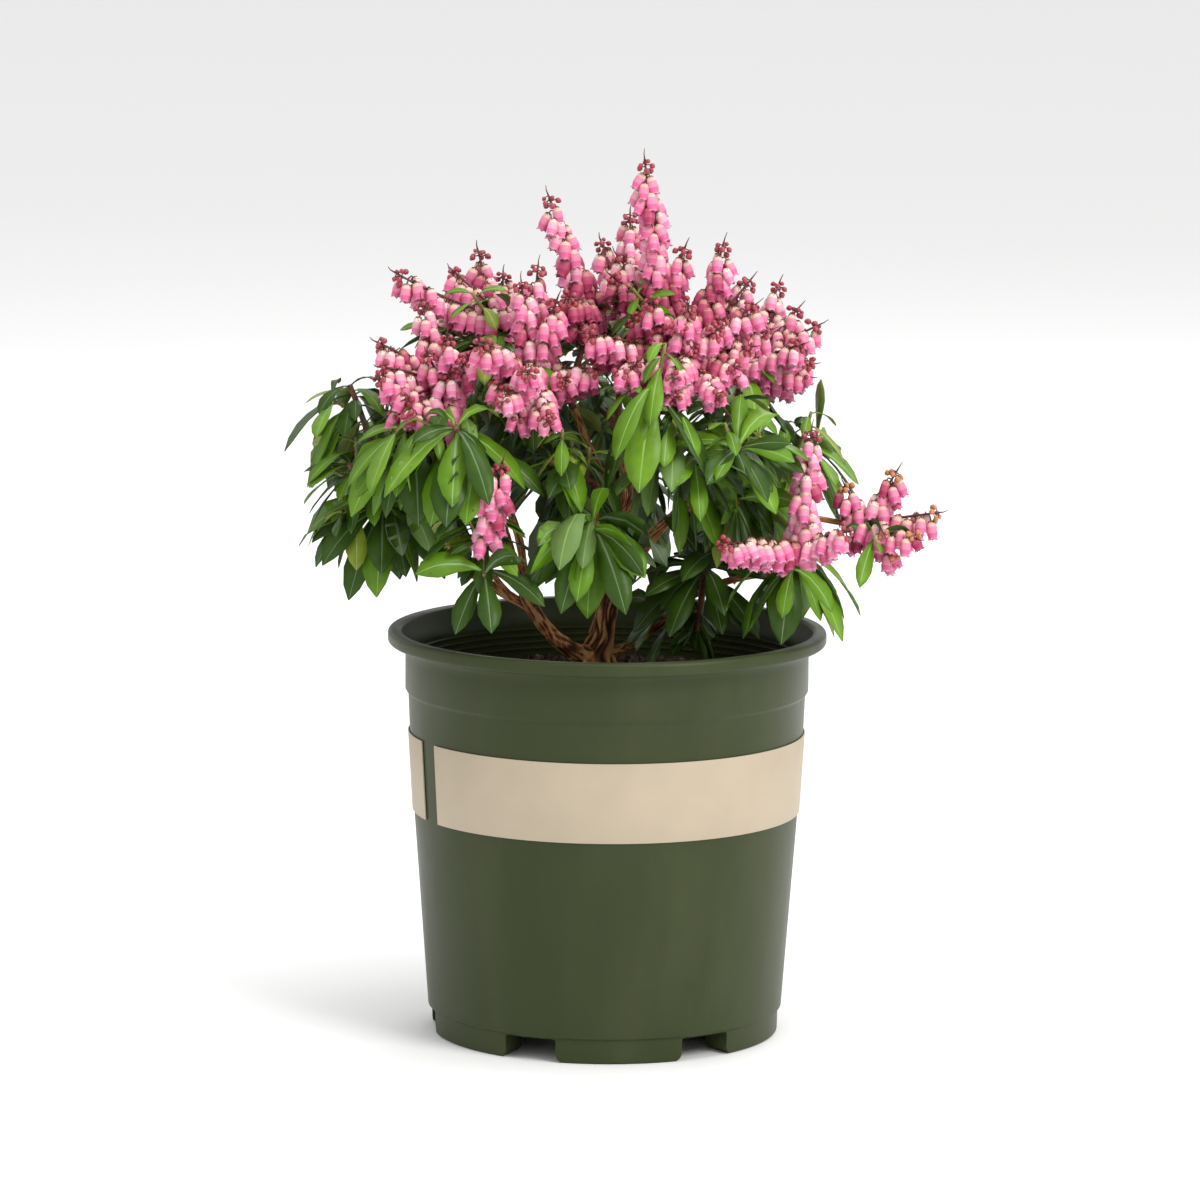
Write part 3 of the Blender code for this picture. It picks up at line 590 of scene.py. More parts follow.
def potProfile():
    # radius and height, from the floor up the inside, over the lip, down and under the foot;
    # the small numbers round off its edges
    s = potSettings
    inner, wallIn = s["rim"] - s["lipWidth"], s["collar"] - s["wall"]
    innerFoot, foot, footInner = s["wallFoot"] - s["wall"], s["foot"], s["foot"] - s["footDepth"]
    floor, lip = s["floorUnder"] + s["floor"], s["lipBottom"]
    bend, small = s["lipRound"], s["footRound"]
    flank, crown = s["ribHalf"]
    profile = [(0, floor), (innerFoot - s["floorBevel"], floor), (innerFoot, floor + s["floorBevel"]),
               (s["bandTop"][0] - s["wall"], s["bandTop"][1]),
               (wallIn, s["collarBottom"] + s["wall"])]
    for k in range(s["ribs"]):
        z = lip - s["underLip"] - s["ribPitch"] * (s["ribs"] - 1 - k) - s["ribDrop"]
        profile += [(wallIn, z - flank), (wallIn - s["ribDepth"], z - crown),
                    (wallIn - s["ribDepth"], z + crown), (wallIn, z + flank)]
    profile += [(wallIn, lip - 3.6), (wallIn + 1.2, lip - 1.2)]
    profile += arc((inner + bend, s["height"] - bend), bend, 180, 90, 5)
    profile += arc((s["rim"] - bend, s["height"] - bend), bend, 90, 0, 6)
    profile += arc((s["rim"] - bend, lip + bend), bend, 0, -90, 6)
    profile += [(s["collar"] + 2.4, lip - 0.1), (s["collar"] + 1.0, lip - 1.2),
                (s["collar"] + 0.25, lip - 3.0), (s["collar"], lip - s["underLip"])]
    profile += [(s["collar"], s["collarBottom"] + 0.6), (s["collar"] - 0.3, s["collarBottom"]),
                (s["step"] + 0.2, s["collarBottom"] - 0.7), (s["step"], s["collarBottom"] - 1.4),
                s["bandTop"], s["bandBottom"]]
    profile += [(s["wallFoot"], s["footHeight"] + 0.4), (s["wallFoot"] - 0.3, s["footHeight"]),
                (foot + 0.1, s["footHeight"] - 0.4), (foot, s["footHeight"] - 1.0)]
    profile += arc((foot - small - 0.2, small), small, 0, -90, 4)
    profile += [(footInner, 0), (footInner - 0.3, s["floorUnder"]),
                (s["pad"] + 0.4, s["floorUnder"]), (s["pad"], 0.4), (s["pad"] - 0.5, 0), (0, 0)]
    return profile


def turned(name, profile, steps, material):
    # a profile from the top of the axis out and round to its foot, turned about the axis
    rings = []
    for radius, height in reversed(profile):
        rings.append(levelRing(height * mm, [radius * mm] * (steps if radius else 1)))
    shape = Shape()
    shape.add(*loft(rings))
    return shape.make(name, [material])


def notchShape():
    # what is cut away between two feet, widening towards the ground
    s = potSettings
    half, top = s["notchWidth"] / 2, s["footHeight"] - 0.7
    flare, bend = s["notchFlare"], s["notchRound"]
    outline = [(-half - flare * 1.7, -1.0), (half + flare * 1.7, -1.0),
               (half + flare, 0.5), (half + flare * 0.35, 1.5), (half, 3.0)]
    outline += arc((half - bend, top - bend), bend, 0, 90, 4)
    outline += arc((-half + bend, top - bend), bend, 90, 180, 4)
    outline += [(-half, 3.0), (-half - flare * 0.35, 1.5), (-half - flare, 0.5)]
    inner, outer = s["foot"] - s["footDepth"] - 4, s["rim"]
    return loft([[Vector((x, y, z)) * mm for x, z in outline] for y in (-inner, -outer)])


def slotShape():
    # a drain slot through the floor
    s = potSettings
    wide, deep = s["drain"][0] / 2, s["drain"][1] / 2
    outline = [(x * wide, y * deep - s["drainCentre"])
               for x, y in ((-1, -1), (1, -1), (1, 1), (-1, 1))]
    heights = (s["floorUnder"] - 4, s["floorUnder"] + s["floor"] + 2)
    return loft([[Vector((x, y, z)) * mm for x, y in outline] for z in heights])


def makePot():
    s = potSettings
    pot = turned("potShell", potProfile(), s["steps"], surfaces["potPlastic"])
    for name, (points, faces) in (("notches", notchShape()), ("slots", slotShape())):
        shape = Shape()
        for k in range(s["feet"]):
            spin = Matrix.Rotation(math.radians(s["notchTurn"] + 360 / s["feet"] * k), 3, "Z")
            shape.add([spin @ point for point in points], faces)
        cutter = shape.make(name, [surfaces["potPlastic"]])
        cut = pot.modifiers.new(name, "BOOLEAN")
        cut.operation, cut.object = "DIFFERENCE", cutter
        mesh = bpy.data.meshes.new_from_object(
            pot.evaluated_get(bpy.context.evaluated_depsgraph_get()))
        pot.modifiers.clear()
        pot.data = mesh
        bpy.data.objects.remove(cutter)
    pot.data.shade_smooth()
    pot.data.set_sharp_from_angle(angle=math.radians(s["smoothBelow"]))
    ridden(pot, "pot_plastic", "pot")


def makeBand():
    # a printed sleeve, open at one narrow gap at the left
    s = bandSettings
    first, last = s["turns"]
    (topRadius, top), (bottomRadius, bottom) = potSettings["bandTop"], potSettings["bandBottom"]
    near, far = s["gap"], s["gap"] + s["proud"]
    inward, edge = s["bevel"]
    outline = ((bottomRadius + near, bottom), (topRadius + near, top),
               (topRadius + far - inward, top), (topRadius + far, top - edge),
               (bottomRadius + far, bottom + edge), (bottomRadius + far - inward, bottom))
    rings = []
    for k in range(s["steps"] + 1):
        turn = first + (last - first) * k / s["steps"]
        rings.append([placeAt(turn, radius, height) for radius, height in outline])
    shape = Shape()
    shape.add(*loft(rings))
    band = shape.make("labelBand", [surfaces["bandPrint"]])
    band.data.set_sharp_from_angle(angle=math.radians(s["smoothBelow"]))
    ridden(band, "band_print", "label_band")


def newTree(name, inputs):
    # a geometry tree with its nodes, its input sockets and its output node
    tree = bpy.data.node_groups.new(name, "GeometryNodeTree")
    for label, kind in {"Geometry": "Geometry", "Shape": "Object", **inputs}.items():
        tree.interface.new_socket(label, in_out="INPUT", socket_type="NodeSocket" + kind)
    tree.interface.new_socket("Geometry", in_out="OUTPUT", socket_type="NodeSocketGeometry")
    nodes = Nodes(tree)
    return nodes, nodes.add("NodeGroupInput").outputs, nodes.add("NodeGroupOutput")


def attribute(nodes, kind, name):
    made = nodes.add("GeometryNodeInputNamedAttribute", {"data_type": kind}, {"Name": name})
    return made.outputs["Attribute"]


def finishTree(nodes, output, materials, points, shape, rotation, scale):
    # the shape on each point, made real; each material goes to the faces that have its number
    small = nodes.add("GeometryNodeObjectInfo", None, {"Object": shape})
    placed = nodes.add("GeometryNodeInstanceOnPoints", None, {
        "Points": points, "Instance": small.outputs["Geometry"],
        "Rotation": rotation, "Scale": scale})
    real = nodes.add("GeometryNodeRealizeInstances", None, {"Geometry": placed.outputs[0]})
    flow, kind = real.outputs[0], attribute(nodes, "INT", "kind")
    for number, material in enumerate(materials):
        chosen = nodes.add("FunctionNodeCompare", {"data_type": "INT", "operation": "EQUAL"},
                           {"A": kind, "B": number})
        flow = nodes.add("GeometryNodeSetMaterial", None, {
            "Geometry": flow, "Selection": chosen.outputs[0], "Material": material}).outputs[0]
    nodes.tree.links.new(flow, output.inputs[0])
    return nodes.tree


def repeated(name, base, shape, tree, sizes):
    # runs the tree on the base with a small shape to repeat, and makes the result a plain mesh;
    # the tree's inputs are set by their identifiers
    small = shape.make(name + "Pattern", [])
    kinds = small.data.attributes.new("kind", "INT", "FACE")
    kinds.data.foreach_set("value", shape.kinds)
    values = {"Shape": small, **sizes}
    modifier = base.modifiers.new("grow", "NODES")
    modifier.node_group = tree
    for item in tree.interface.items_tree:
        if item.in_out == "INPUT" and item.name in values:
            modifier[item.identifier] = values[item.name]
    depsgraph = bpy.context.evaluated_depsgraph_get()
    mesh = bpy.data.meshes.new_from_object(base.evaluated_get(depsgraph))
    mesh.name = name
    for used in (base, small):
        bpy.data.objects.remove(used)
    return newObject(name, mesh)


def scatterTree(materials):
    nodes, inputs, output = newTree("scatterChips", {
        "Count": "Float", "Seed": "Int", "Smallest": "Float", "Largest": "Float"})
    points = nodes.add("GeometryNodeDistributePointsOnFaces", None, {
        "Mesh": inputs["Geometry"], "Density": inputs["Count"], "Seed": inputs["Seed"]})
    spin = nodes.add("FunctionNodeRandomValue", {"data_type": "FLOAT_VECTOR"}, {
        "Max": (anyTurn, anyTurn, anyTurn), "Seed": inputs["Seed"]})
    size = nodes.add("FunctionNodeRandomValue", {"data_type": "FLOAT"}, {
        "Min": inputs["Smallest"], "Max": inputs["Largest"], "Seed": inputs["Seed"]})
    return finishTree(nodes, output, materials, points.outputs["Points"], inputs["Shape"],
                      spin.outputs[0], size.outputs[1])


soilSettings = {
    # heights of the middle and the edge, the middle's radius, and how the slope is curved
    "top": 140.7, "edge": 134.8, "flat": 30.0, "hollow": 0.85, "steps": 96,
    "rings": (8, 14),                    # on the flat middle, and down to the edge
    "gap": 0.6, "floorGap": 0.4, "bevel": 3.2,
    # lumps above this height in metres and this far from the wall: their scales and depths
    "lumpsAbove": 0.13, "lumpsInside": 2, "lumps": ((140, 1.0), (420, 0.7)), "sunk": 1.1,
    "shapeSeed": 21, "seed": 4, "chipEdge": 3.0, "chipSunk": 0.9, "chipRings": 11, "chipSides": 40,
    # a chip's levels with their width, the unevenness of its 6 corners, and its proportions
    "chipLevels": ((-0.22, 0.72), (0.0, 1.0), (0.24, 0.66)),
    "chipCorners": (0.6, 1.1), "chipShape": (1.5, 0.75),
}
chipKinds = {
    # smallest, largest, chips to the square metre, finish
    "chipsFine": (0.7, 1.5, 70000, "chipDark"),
    "chipsCoarse": (1.3, 3.0, 24000, "chipBrown"),
    "chipsDark": (1.2, 2.8, 30000, "chipDark"),
}


def soilHeight(fall):
    # from 0 at the edge of the flat middle to 1 at the wall
    s = soilSettings
    return s["top"] + (s["edge"] - s["top"]) * fall ** s["hollow"]


def chipShape(chance):
    # a flake of bark: a flattened, uneven block
    s, rings = soilSettings, []
    length, width = s["chipShape"]
    for z, part in s["chipLevels"]:
        radii = [part * chance.uniform(*s["chipCorners"]) for _ in range(6)]
        rings.append([Vector((p.x * length, p.y * width, z)) for p in levelRing(0, radii)])
    shape = Shape()
    shape.add(*loft(rings))
    return shape


def makeSoil():
    s, pot = soilSettings, potSettings
    wall = pot["step"] - pot["wall"] - s["gap"]
    foot = pot["wallFoot"] - pot["wall"] - s["gap"]
    floor = pot["floorUnder"] + pot["floor"] + s["floorGap"]
    middle, slope = s["rings"]
    profile = [(0, s["top"])]
    profile += [(s["flat"] * k / middle, s["top"]) for k in range(1, middle + 1)]
    profile += [(s["flat"] + (wall - s["flat"]) * k / slope, soilHeight(k / slope))
                for k in range(1, slope + 1)]
    profile += [(pot["bandTop"][0] - pot["wall"] - s["gap"], pot["bandTop"][1]),
                (foot, floor + s["bevel"]), (foot - s["bevel"], floor), (0, floor)]
    soil = turned("soilBed", profile, s["steps"], surfaces["soilMix"])
    for vertex in soil.data.vertices:
        reach = math.hypot(vertex.co.x, vertex.co.y) / mm
        if vertex.co.z > s["lumpsAbove"] and reach < wall - s["lumpsInside"]:
            lump = sum(noise.noise(vertex.co * scale) * depth for scale, depth in s["lumps"])
            vertex.co.z += (lump - s["sunk"]) * mm
    soil.data.shade_smooth()
    ridden(soil, "bark_mix", "soil")


def makeChips():
    s, chance = soilSettings, random.Random(soilSettings["shapeSeed"])
    wall = potSettings["step"] - potSettings["wall"] - s["gap"]
    rings = []
    for k in range(1, s["chipRings"] + 1):
        reach = (wall - s["chipEdge"]) * k / s["chipRings"]
        fall = max(0.0, (reach - s["flat"]) / (wall - s["flat"]))
        level = (soilHeight(fall) - s["chipSunk"]) * mm
        rings.append(levelRing(level, [reach * mm] * s["chipSides"]))
    points, faces = loft(rings)
    for name, (smallest, largest, count, finish) in chipKinds.items():
        chip, bed = chipShape(chance), Shape()
        bed.add(points, faces[:-1])
        piece = repeated(name, bed.make(name, []), chip, scatterTree([surfaces[finish]]), {
            "Count": count, "Seed": s["seed"] + len(name),
            "Smallest": smallest * mm, "Largest": largest * mm})
        ridden(piece, "bark_mix")


makePot()
makeBand()
makeSoil()
makeChips()
print("pot, band and soil")


# The foliage: the source's rule first, then finer growth on it

leafSettings = {
    "width": 0.37, "stations": ((0.32, 0.62), (0.66, 1.00)), "keel": 0.9 * mm, "lift": 0.9 * mm,
    "petiole": 0.7 * mm, "petioleKeel": 0.6,
    # a whorl: its depth, its axis, how far it opens, and how its leaves grow towards the tip
    "whorlTop": 0.5 * mm, "whorlDepth": 10.0 * mm, "upturn": 0.7, "opening": (48, 34),
    "underFlowers": 12, "length": (0.78, 0.22), "droop": (0.75, 0.35),
    "stepsAside": ((0, 1.0), (14, 1.0), (-14, 1.0), (28, 0.92), (-28, 0.92), (42, 0.8),
                   (-42, 0.8), (60, 0.7), (-60, 0.7)),
}
twigSettings = {
    "seed": 11, "radii": (1.6 * mm, 1.3 * mm), "space": 0.5 * mm, "gap": 0.3 * mm, "arch": 8,
    "straight": 1.5, "single": 3, "fork": 0.3, "overlap": 1.2, "long": 25, "fineSteps": 14,
    "fineRadii": (1.5 * mm, 1.05 * mm), "sides": 8, "knuckle": 0.12, "knuckleEach": 3,
    "stepsAside": ((0, 0), (20, 0), (-20, 0), (0, 25), (0, -25), (35, 20), (35, -20), (-35, 30),
                   (-35, -30), (50, 0), (0, 50), (0, -50)),
}
bellSettings = {
    "rachis": (1.0 * mm, 0.55 * mm), "spacing": 5.8 * mm, "length": 9.4 * mm,
    "radius": 3.9 * mm, "mouth": 2.6 * mm, "shoulder": 0.30, "sides": 3, "tilt": 30.0,
    "first": 0.16, "run": 0.80, "used": 0.86, "least": 3, "flatten": 0.3, "sunk": 0.8,
    "hint": Vector((0.05, 0.02, 1.0)),
    "stepsAside": (0, 40, -40, 80, -80, 120, -120, 160),
    # where the stalks leave the twig's end, the droops that need more steps, and the fine steps
    "stalkRoots": (0.8, 0.9), "stalkBends": (8, 24), "stalkSteps": 12,
    "stalkStepsAside": (0, 12, -12, 24, -24, 36, -36),
}
# a shoot: (turn, reach, height) of its tip, leaf count, leaf length, droop, and its flower
# stalks as (turn, rise, length, droop)
foliage = {
    "foliage_far_left": ("bough_far_left", [
        ((-90, 100, 252), 9, 37, 75, []),
        ((-82, 101, 223), 6, 25, 60, []),
        ((-84, 88, 205), 8, 40, 85, []),
    ]),
    "foliage_left_front": ("bough_left", [
        ((-62, 90, 241), 8, 40, 80, []),
        ((-45, 82, 243), 8, 42, 80, []),
        ((-69, 68, 256), 4, 32, 70,
         [(-145, 63, 34, 0), (-98, 42, 31, 20), (-62, 20, 30, 20), (-27, 5, 32, 40),
          (0, 55, 28, 0)]),
    ]),
    "foliage_left_top": ("bough_left_top", [
        ((-93, 40, 279), 4, 30, 50, [(-88, 14, 46, -16), (-130, 35, 32, 5)]),
        ((-104, 59, 275), 6, 28, 40, []),
    ]),
    "foliage_top_left": ("bough_top_left", [
        ((-58, 38, 262), 6, 38, 80,
         [(-24, 22, 45, 10), (-12, -4, 44, 15), (160, 76, 40, 0), (-90, 84, 34, 0),
          (60, 68, 30, 0), (65, 12, 28, 15)]),
        ((-120, 31, 232), 7, 36, 70, []),
        ((-157, 13, 281), 4, 30, 50, [(-96, 67, 48, 0), (-20, 25, 32, 20)]),
    ]),
    "foliage_left_low": ("bough_left_spur", [
        ((-41, 72, 200), 7, 22, 50, [(35, 68, 33, 0)]),
    ]),
    "foliage_low_front": ("bough_front", [
        ((-7, 55, 203), 9, 38, 70, []),
        ((-32, 43, 228), 7, 36, 75, []),
    ]),
    "foliage_front": ("bough_front_up", [
        ((19, 53, 260), 10, 43, 100, []),
        ((41, 46, 222), 7, 36, 70, []),
    ]),
    "foliage_crown": ("bough_top", [
        ((96, 20, 284), 4, 30, 50,
         [(-85, 83, 57, 0), (-110, 42, 27, -10), (90, 70, 26, 0)]),
        ((67, 36, 268), 5, 36, 70,
         [(142, 66, 44, 0), (122, 45, 37, 0), (98, 20, 31, 10), (39, 5, 28, 25),
          (-8, 5, 44, 25), (-57, 12, 48, 0), (-33, 5, 48, 20), (-32, 42, 34, 0),
          (4, 38, 34, 0), (43, 33, 28, 0)]),
    ]),
    "foliage_right_up": ("bough_right_up", [
        ((95, 48, 248), 9, 36, 60, []),
        ((50, 65, 234), 9, 29, 50, []),
        ((70, 53, 209), 6, 31, 60, []),
    ]),
    "foliage_right_low": ("bough_right_low", [
        ((72, 39, 185), 8, 36, 60, []),
        ((75, 36, 158), 5, 18, 50, []),
    ]),
    "foliage_right": ("bough_right", [
        ((64, 82, 196), 9, 38, 85, [(160, 75, 45, 0), (-45, 12, 44, 10), (45, 30, 27, 20)]),
    ]),
    "foliage_far_right": ("bough_far_right", [
        ((90, 101, 199), 5, 28, 60,
         [(-90, 60, 18, 0), (90, 60, 24, 0), (71, 14, 31, 5), (46, 5, 29, 20),
          (50, -20, 22, 30), (20, 5, 18, 30)]),
    ]),
    "foliage_back_right": ("bough_back_right", [
        ((124, 66, 258), 7, 36, 70, [(150, 50, 38, 0), (90, 35, 32, 10), (120, 10, 30, 20)]),
        ((113, 89, 225), 8, 38, 75, []),
        ((144, 86, 200), 8, 38, 80, []),
    ]),
    "foliage_back": ("bough_back", [
        ((170, 46, 275), 5, 34, 60,
         [(180, 60, 44, 0), (150, 25, 36, 20), (-150, 20, 38, 20), (-170, -5, 30, 20)]),
        ((-174, 75, 238), 9, 40, 75, []),
        ((176, 82, 198), 8, 38, 80, []),
    ]),
    "foliage_back_left": ("bough_back_left", [
        ((-139, 64, 264), 7, 36, 70,
         [(-150, 60, 40, 0), (-120, 25, 34, 15), (-165, 15, 34, 20), (170, 35, 30, 0)]),
        ((-136, 86, 226), 8, 38, 75, []),
    ]),
    "foliage_left_back": ("bough_left_back", [
        ((-109, 97, 236), 8, 38, 75, []),
        ((-128, 89, 205), 8, 38, 80, []),
    ]),
}
shoots = {(mass, index): shoot for mass, (_, group) in foliage.items()
          for index, shoot in enumerate(group)}


def blade(root, direction, up, length, droop, outline, lead=0.0):
    # the stations of a drooping leaf: place, width, centre, heading, side and normal
    side, _ = across(direction, up)
    fall = math.tan(math.radians(droop) / 2) * 2
    centre, last = root.copy(), 0.0
    for t, part in outline:
        here = (direction - Vector((0, 0, fall * (t + lead)))).normalized()
        centre = centre + here * length * (t - last)
        last = t
        flat = (side - here * side.dot(here)).normalized()
        yield t, part, centre, here, flat, flat.cross(here)


def coarseLeaf(root, direction, up, length, droop, grow=0.0):
    s, rings = leafSettings, []
    half = length * s["width"] / 2
    outline = [(0.0, s["petiole"] / half), *s["stations"], (1.0, 0.0)]
    for t, part, centre, here, flat, normal in blade(root, direction, up, length, droop, outline):
        if part == 0.0:
            rings.append([centre + here * grow])
            continue
        lift = normal * (s["lift"] * part * (t > 0) + grow)
        wide = flat * (half * part + grow)
        keel = normal * (s["keel"] * (s["petioleKeel"] if t == 0 else 1.0) + grow)
        rings.append([centre + wide + lift, centre - keel, centre - wide + lift])
    return loft(rings)


def coarseBell(top, direction, hint, grow=0.0):
    s, rings = bellSettings, [[top]]
    for t, radius in ((s["shoulder"], s["radius"]), (1.0, s["mouth"])):
        centre = top + direction * (s["length"] * t + grow * (t == 1.0))
        rings.append(ring(centre, direction, hint, [radius + grow] * s["sides"]))
    return loft(rings)


class Piece:
    # a leaf, bell or twig as placed, for the test of what would touch it
    def __init__(self, shape, mass, shoot=None):
        self.mass, self.shoot = mass, shoot
        points, faces = shape
        self.tree = BVHTree.FromPolygons(points, faces)
        self.centre = sum(points, Vector()) / len(points)
        self.radius = max((point - self.centre).length for point in points)

    def isBell(self):
        return len(self.shoot) == 3

    def touches(self, other):
        reach = self.radius + other.radius
        if (self.centre - other.centre).length > reach:
            return False
        return bool(self.tree.overlap(other.tree))


class Thicket:
    # all that is placed so far
    def __init__(self, fixed):
        self.fixed = [BVHTree.FromPolygons([vertex.co for vertex in thing.data.vertices],
                                           [tuple(face.vertices) for face in thing.data.polygons])
                      for thing in fixed]
        self.pieces = []

    def clear(self, grownShape, mass, tight=None, own=None):
        # room for its grown shape among other masses, and for its tight one among all but its own
        wide = Piece(grownShape, mass)
        if any(wide.tree.overlap(tree) for tree in self.fixed):
            return False
        if any(other.mass != mass and wide.touches(other) for other in self.pieces):
            return False
        if not tight:
            return True
        slim = Piece(tight, mass)
        return not any(other.mass == mass and not own(other) and slim.touches(other)
                       for other in self.pieces)

    def add(self, shape, mass, shoot):
        self.pieces.append(Piece(shape, mass, shoot))

    def settle(self, build, mass, shoot, own):
        # adds what build makes, where there is room for it
        tight = build(0.0)
        room = self.clear(build(twigSettings["space"]), mass, tight, own)
        if room:
            self.add(tight, mass, shoot)
        return room


def growTwigs(mass, end, direction, group):
    # the stem of a mass from the end of its bough, and a twig from it to each shoot's tip
    s, made = twigSettings, []
    tips = [placeAt(*shoot[0]) for shoot in group]
    root = end + direction * s["gap"]
    knee = root + direction * s["straight"] * mm
    fork = root + direction * s["single"] * mm
    if len(tips) > 1:
        fork = root.lerp(sum(tips, Vector()) / len(tips), s["fork"])
    stem = [root, knee] + bow(knee, direction, fork, 2)[1:]
    thicket.add(rod(stem, s["radii"], 3), mass, ("stem",))
    start = stem[-1] - (stem[-1] - stem[-2]).normalized() * s["overlap"] * mm
    for index, tip in enumerate(tips):
        straight = (tip - start).normalized()
        side, up = across(straight, upright)
        steps = 3 if (tip - start).length > s["long"] * mm else 2
        for lift, sway in s["stepsAside"]:
            leaving = (straight + up * math.tan(math.radians(s["arch"] + lift))
                       + side * math.tan(math.radians(sway))).normalized()
            path = bow(start, leaving, tip, steps)
            if thicket.clear(rod(path, s["radii"], 3, s["space"]), mass):
                break
        thicket.add(rod(path, s["radii"], 3), mass, (index,))
        made.append((path, bow(start, leaving, tip, s["fineSteps"])))
    return stem, made


def growStalks(mass, index, path, flowers):
    # each stalk as the source has it, and in finer steps
    s, made = bellSettings, []
    tip, direction = along(path, 1.0)
    for k, (turn, rise, length, droop) in enumerate(flowers):
        start = tip - direction * (s["stalkRoots"][0] + s["stalkRoots"][1] * k) * mm
        steps = 1 + sum(abs(droop) > bend for bend in s["stalkBends"])
        for sway in s["stalkStepsAside"]:
            line = (start, turn + sway, rise, length * mm, droop)
            points = stalk(*line, steps)
            if thicket.settle(lambda grow: rod(points, s["rachis"], 3, grow), mass,
                              (index, len(made)), lambda other: other.shoot[0] == index):
                made.append((points, stalk(*line, s["stalkSteps"])))
                break
    return made


def growCoarseBells(mass, line, points, chance):
    s = bellSettings
    count = max(s["least"], round(lengthOf(points) * s["used"] / s["spacing"]))
    phase = chance.uniform(0, 360)
    tilt = math.tan(math.radians(s["tilt"]))
    for k in range(count):
        spot, direction = along(points, s["first"] + s["run"] * k / (count - 1))
        side, up = across(direction, s["hint"])
        top = spot - up * s["rachis"][1] * s["sunk"]
        for nudge in s["stepsAside"]:
            outward = spoke(side, up, phase + golden * k + nudge)
            outward.z *= s["flatten"]
            hang = (outward.normalized() * tilt - upright).normalized()
            if thicket.settle(lambda grow: coarseBell(top, hang, outward, grow), mass,
                              (*line, k), lambda other: other.shoot == line):
                break


def placeLeaf(mass, index, *leaf):
    # a leaf keeps clear of bells and of other shoots
    settled = thicket.settle(lambda grow: coarseLeaf(*leaf, grow), mass, (index, "leaf"),
                             lambda other: other.shoot[0] == index and not other.isBell())
    if settled:
        leaves.append(leaf)
    return settled


def growLeaves(mass, index, path, chance, count, length, droop, flowers):
    # a whorl of leaves, the lowest ones last and opened widest
    s = leafSettings
    tip, direction = along(path, 1.0)
    axis = (direction + upright * s["upturn"]).normalized()
    side, up = across(axis, direction.cross(upright))
    phase = chance.uniform(0, 360)
    for k in range(count):
        root = tip - direction * (s["whorlTop"] + s["whorlDepth"] * k / count)
        opening = s["opening"][0] + s["opening"][1] * k / count
        if flowers:
            opening += s["underFlowers"]
        opening = math.radians(opening)
        grown = s["length"][0] + s["length"][1] * min(1, 2 * (k + 1) / count)
        sag = droop * (s["droop"][0] + s["droop"][1] * k / count)
        for sway, part in s["stepsAside"]:
            outward = spoke(side, up, phase + golden * k + sway)
            start = (axis * math.cos(opening) + outward * math.sin(opening)).normalized()
            if placeLeaf(mass, index, root, start, axis, length * mm * part * grown, sag):
                break


thicket = Thicket([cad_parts[name] for name in ("pot", "label_band", "soil", "trunk", *boughs)])
twigs, stems, stalks, leaves = {}, [], {}, []
for mass, (bough, group) in foliage.items():
    _, direction = along(paths[bough], 1.0)
    stem, made = growTwigs(mass, paths[bough][-1], direction, group)
    stems.append(stem)
    for index, twig in enumerate(made):
        twigs[mass, index] = twig
for (mass, index), (path, _) in twigs.items():
    stalks[mass, index] = growStalks(mass, index, path, shoots[mass, index][4])
chance = random.Random(twigSettings["seed"])
for (mass, index), lines in stalks.items():
    for k, (points, _) in enumerate(lines):
        growCoarseBells(mass, (index, k), points, chance)
for (mass, index), (path, _) in twigs.items():
    growLeaves(mass, index, path, chance, *shoots[mass, index][1:])
print("rule grown:", len(leaves), "leaves,", sum(len(lines) for lines in stalks.values()), "stalks")


fineSettings = {
    "seed": 31, "radii": (1.0 * mm, 0.8 * mm),
    "sideTwigs": (0.38, 0.60, 0.82),     # where they leave their twig; a short one has the second
    "short": 22, "sideLength": (12, 19), "sideTries": 7, "sideSteps": (3, 8),
    "seenRadii": (0.95 * mm, 0.65 * mm), "seenSides": 7,
    "forward": 0.55, "upward": 0.25, "sink": 0.3,
    "sideLeaves": 6, "sideLeafLength": (22, 31),
    "secondTurn": (5, 0.82, 0.7),        # count, part of the length, part of the droop
    "single": ("foliage_front", "foliage_crown"),
    "bareLeaves": 5,                     # single leaves on the twig below the whorl
    "bareFrom": 0.35, "bareRun": 0.5, "bareTries": 6, "bareTurns": (-40, 220),
    "bareForward": 0.5, "barePart": (0.66, 0.9),
}


def growSideTwigs(chance):
    # short side twigs with smaller whorls, in what room their mass has left
    s, made = fineSettings, []
    for (mass, index), (_, fine) in twigs.items():
        droop = shoots[mass, index][3]
        for k, at in enumerate(s["sideTwigs"]):
            if lengthOf(fine) < s["short"] * mm and k != 1:
                continue
            start, direction = along(fine, at)
            side, up = across(direction, upright)
            for _ in range(s["sideTries"]):
                outward = spoke(side, up, chance.uniform(0, 360))
                leaving = (direction * s["forward"] + outward + upright * s["upward"]).normalized()
                reach = chance.uniform(*s["sideLength"]) * mm
                bend = (start, (leaving - upright * s["sink"]).normalized(), start + leaving * reach)
                path = bow(*bend, s["sideSteps"][0])
                if thicket.clear(rod(path[1:], s["radii"], 3, twigSettings["space"]), mass):
                    break
            else:
                continue
            thicket.add(rod(path, s["radii"], 3), mass, (index, "side"))
            made.append(bow(*bend, s["sideSteps"][1]))
            size = chance.uniform(*s["sideLeafLength"])
            growLeaves(mass, index, path, chance, s["sideLeaves"], size, droop, [])
    return made


def fillWhorls(chance):
    # a second, smaller turn of leaves in each whorl without flowers, held flatter than the first
    count, part, flatter = fineSettings["secondTurn"]
    for (mass, index), (path, _) in twigs.items():
        _, _, length, droop, flowers = shoots[mass, index]
        if not flowers and mass not in fineSettings["single"]:
            growLeaves(mass, index, path, chance, count, length * part, droop * flatter, [])


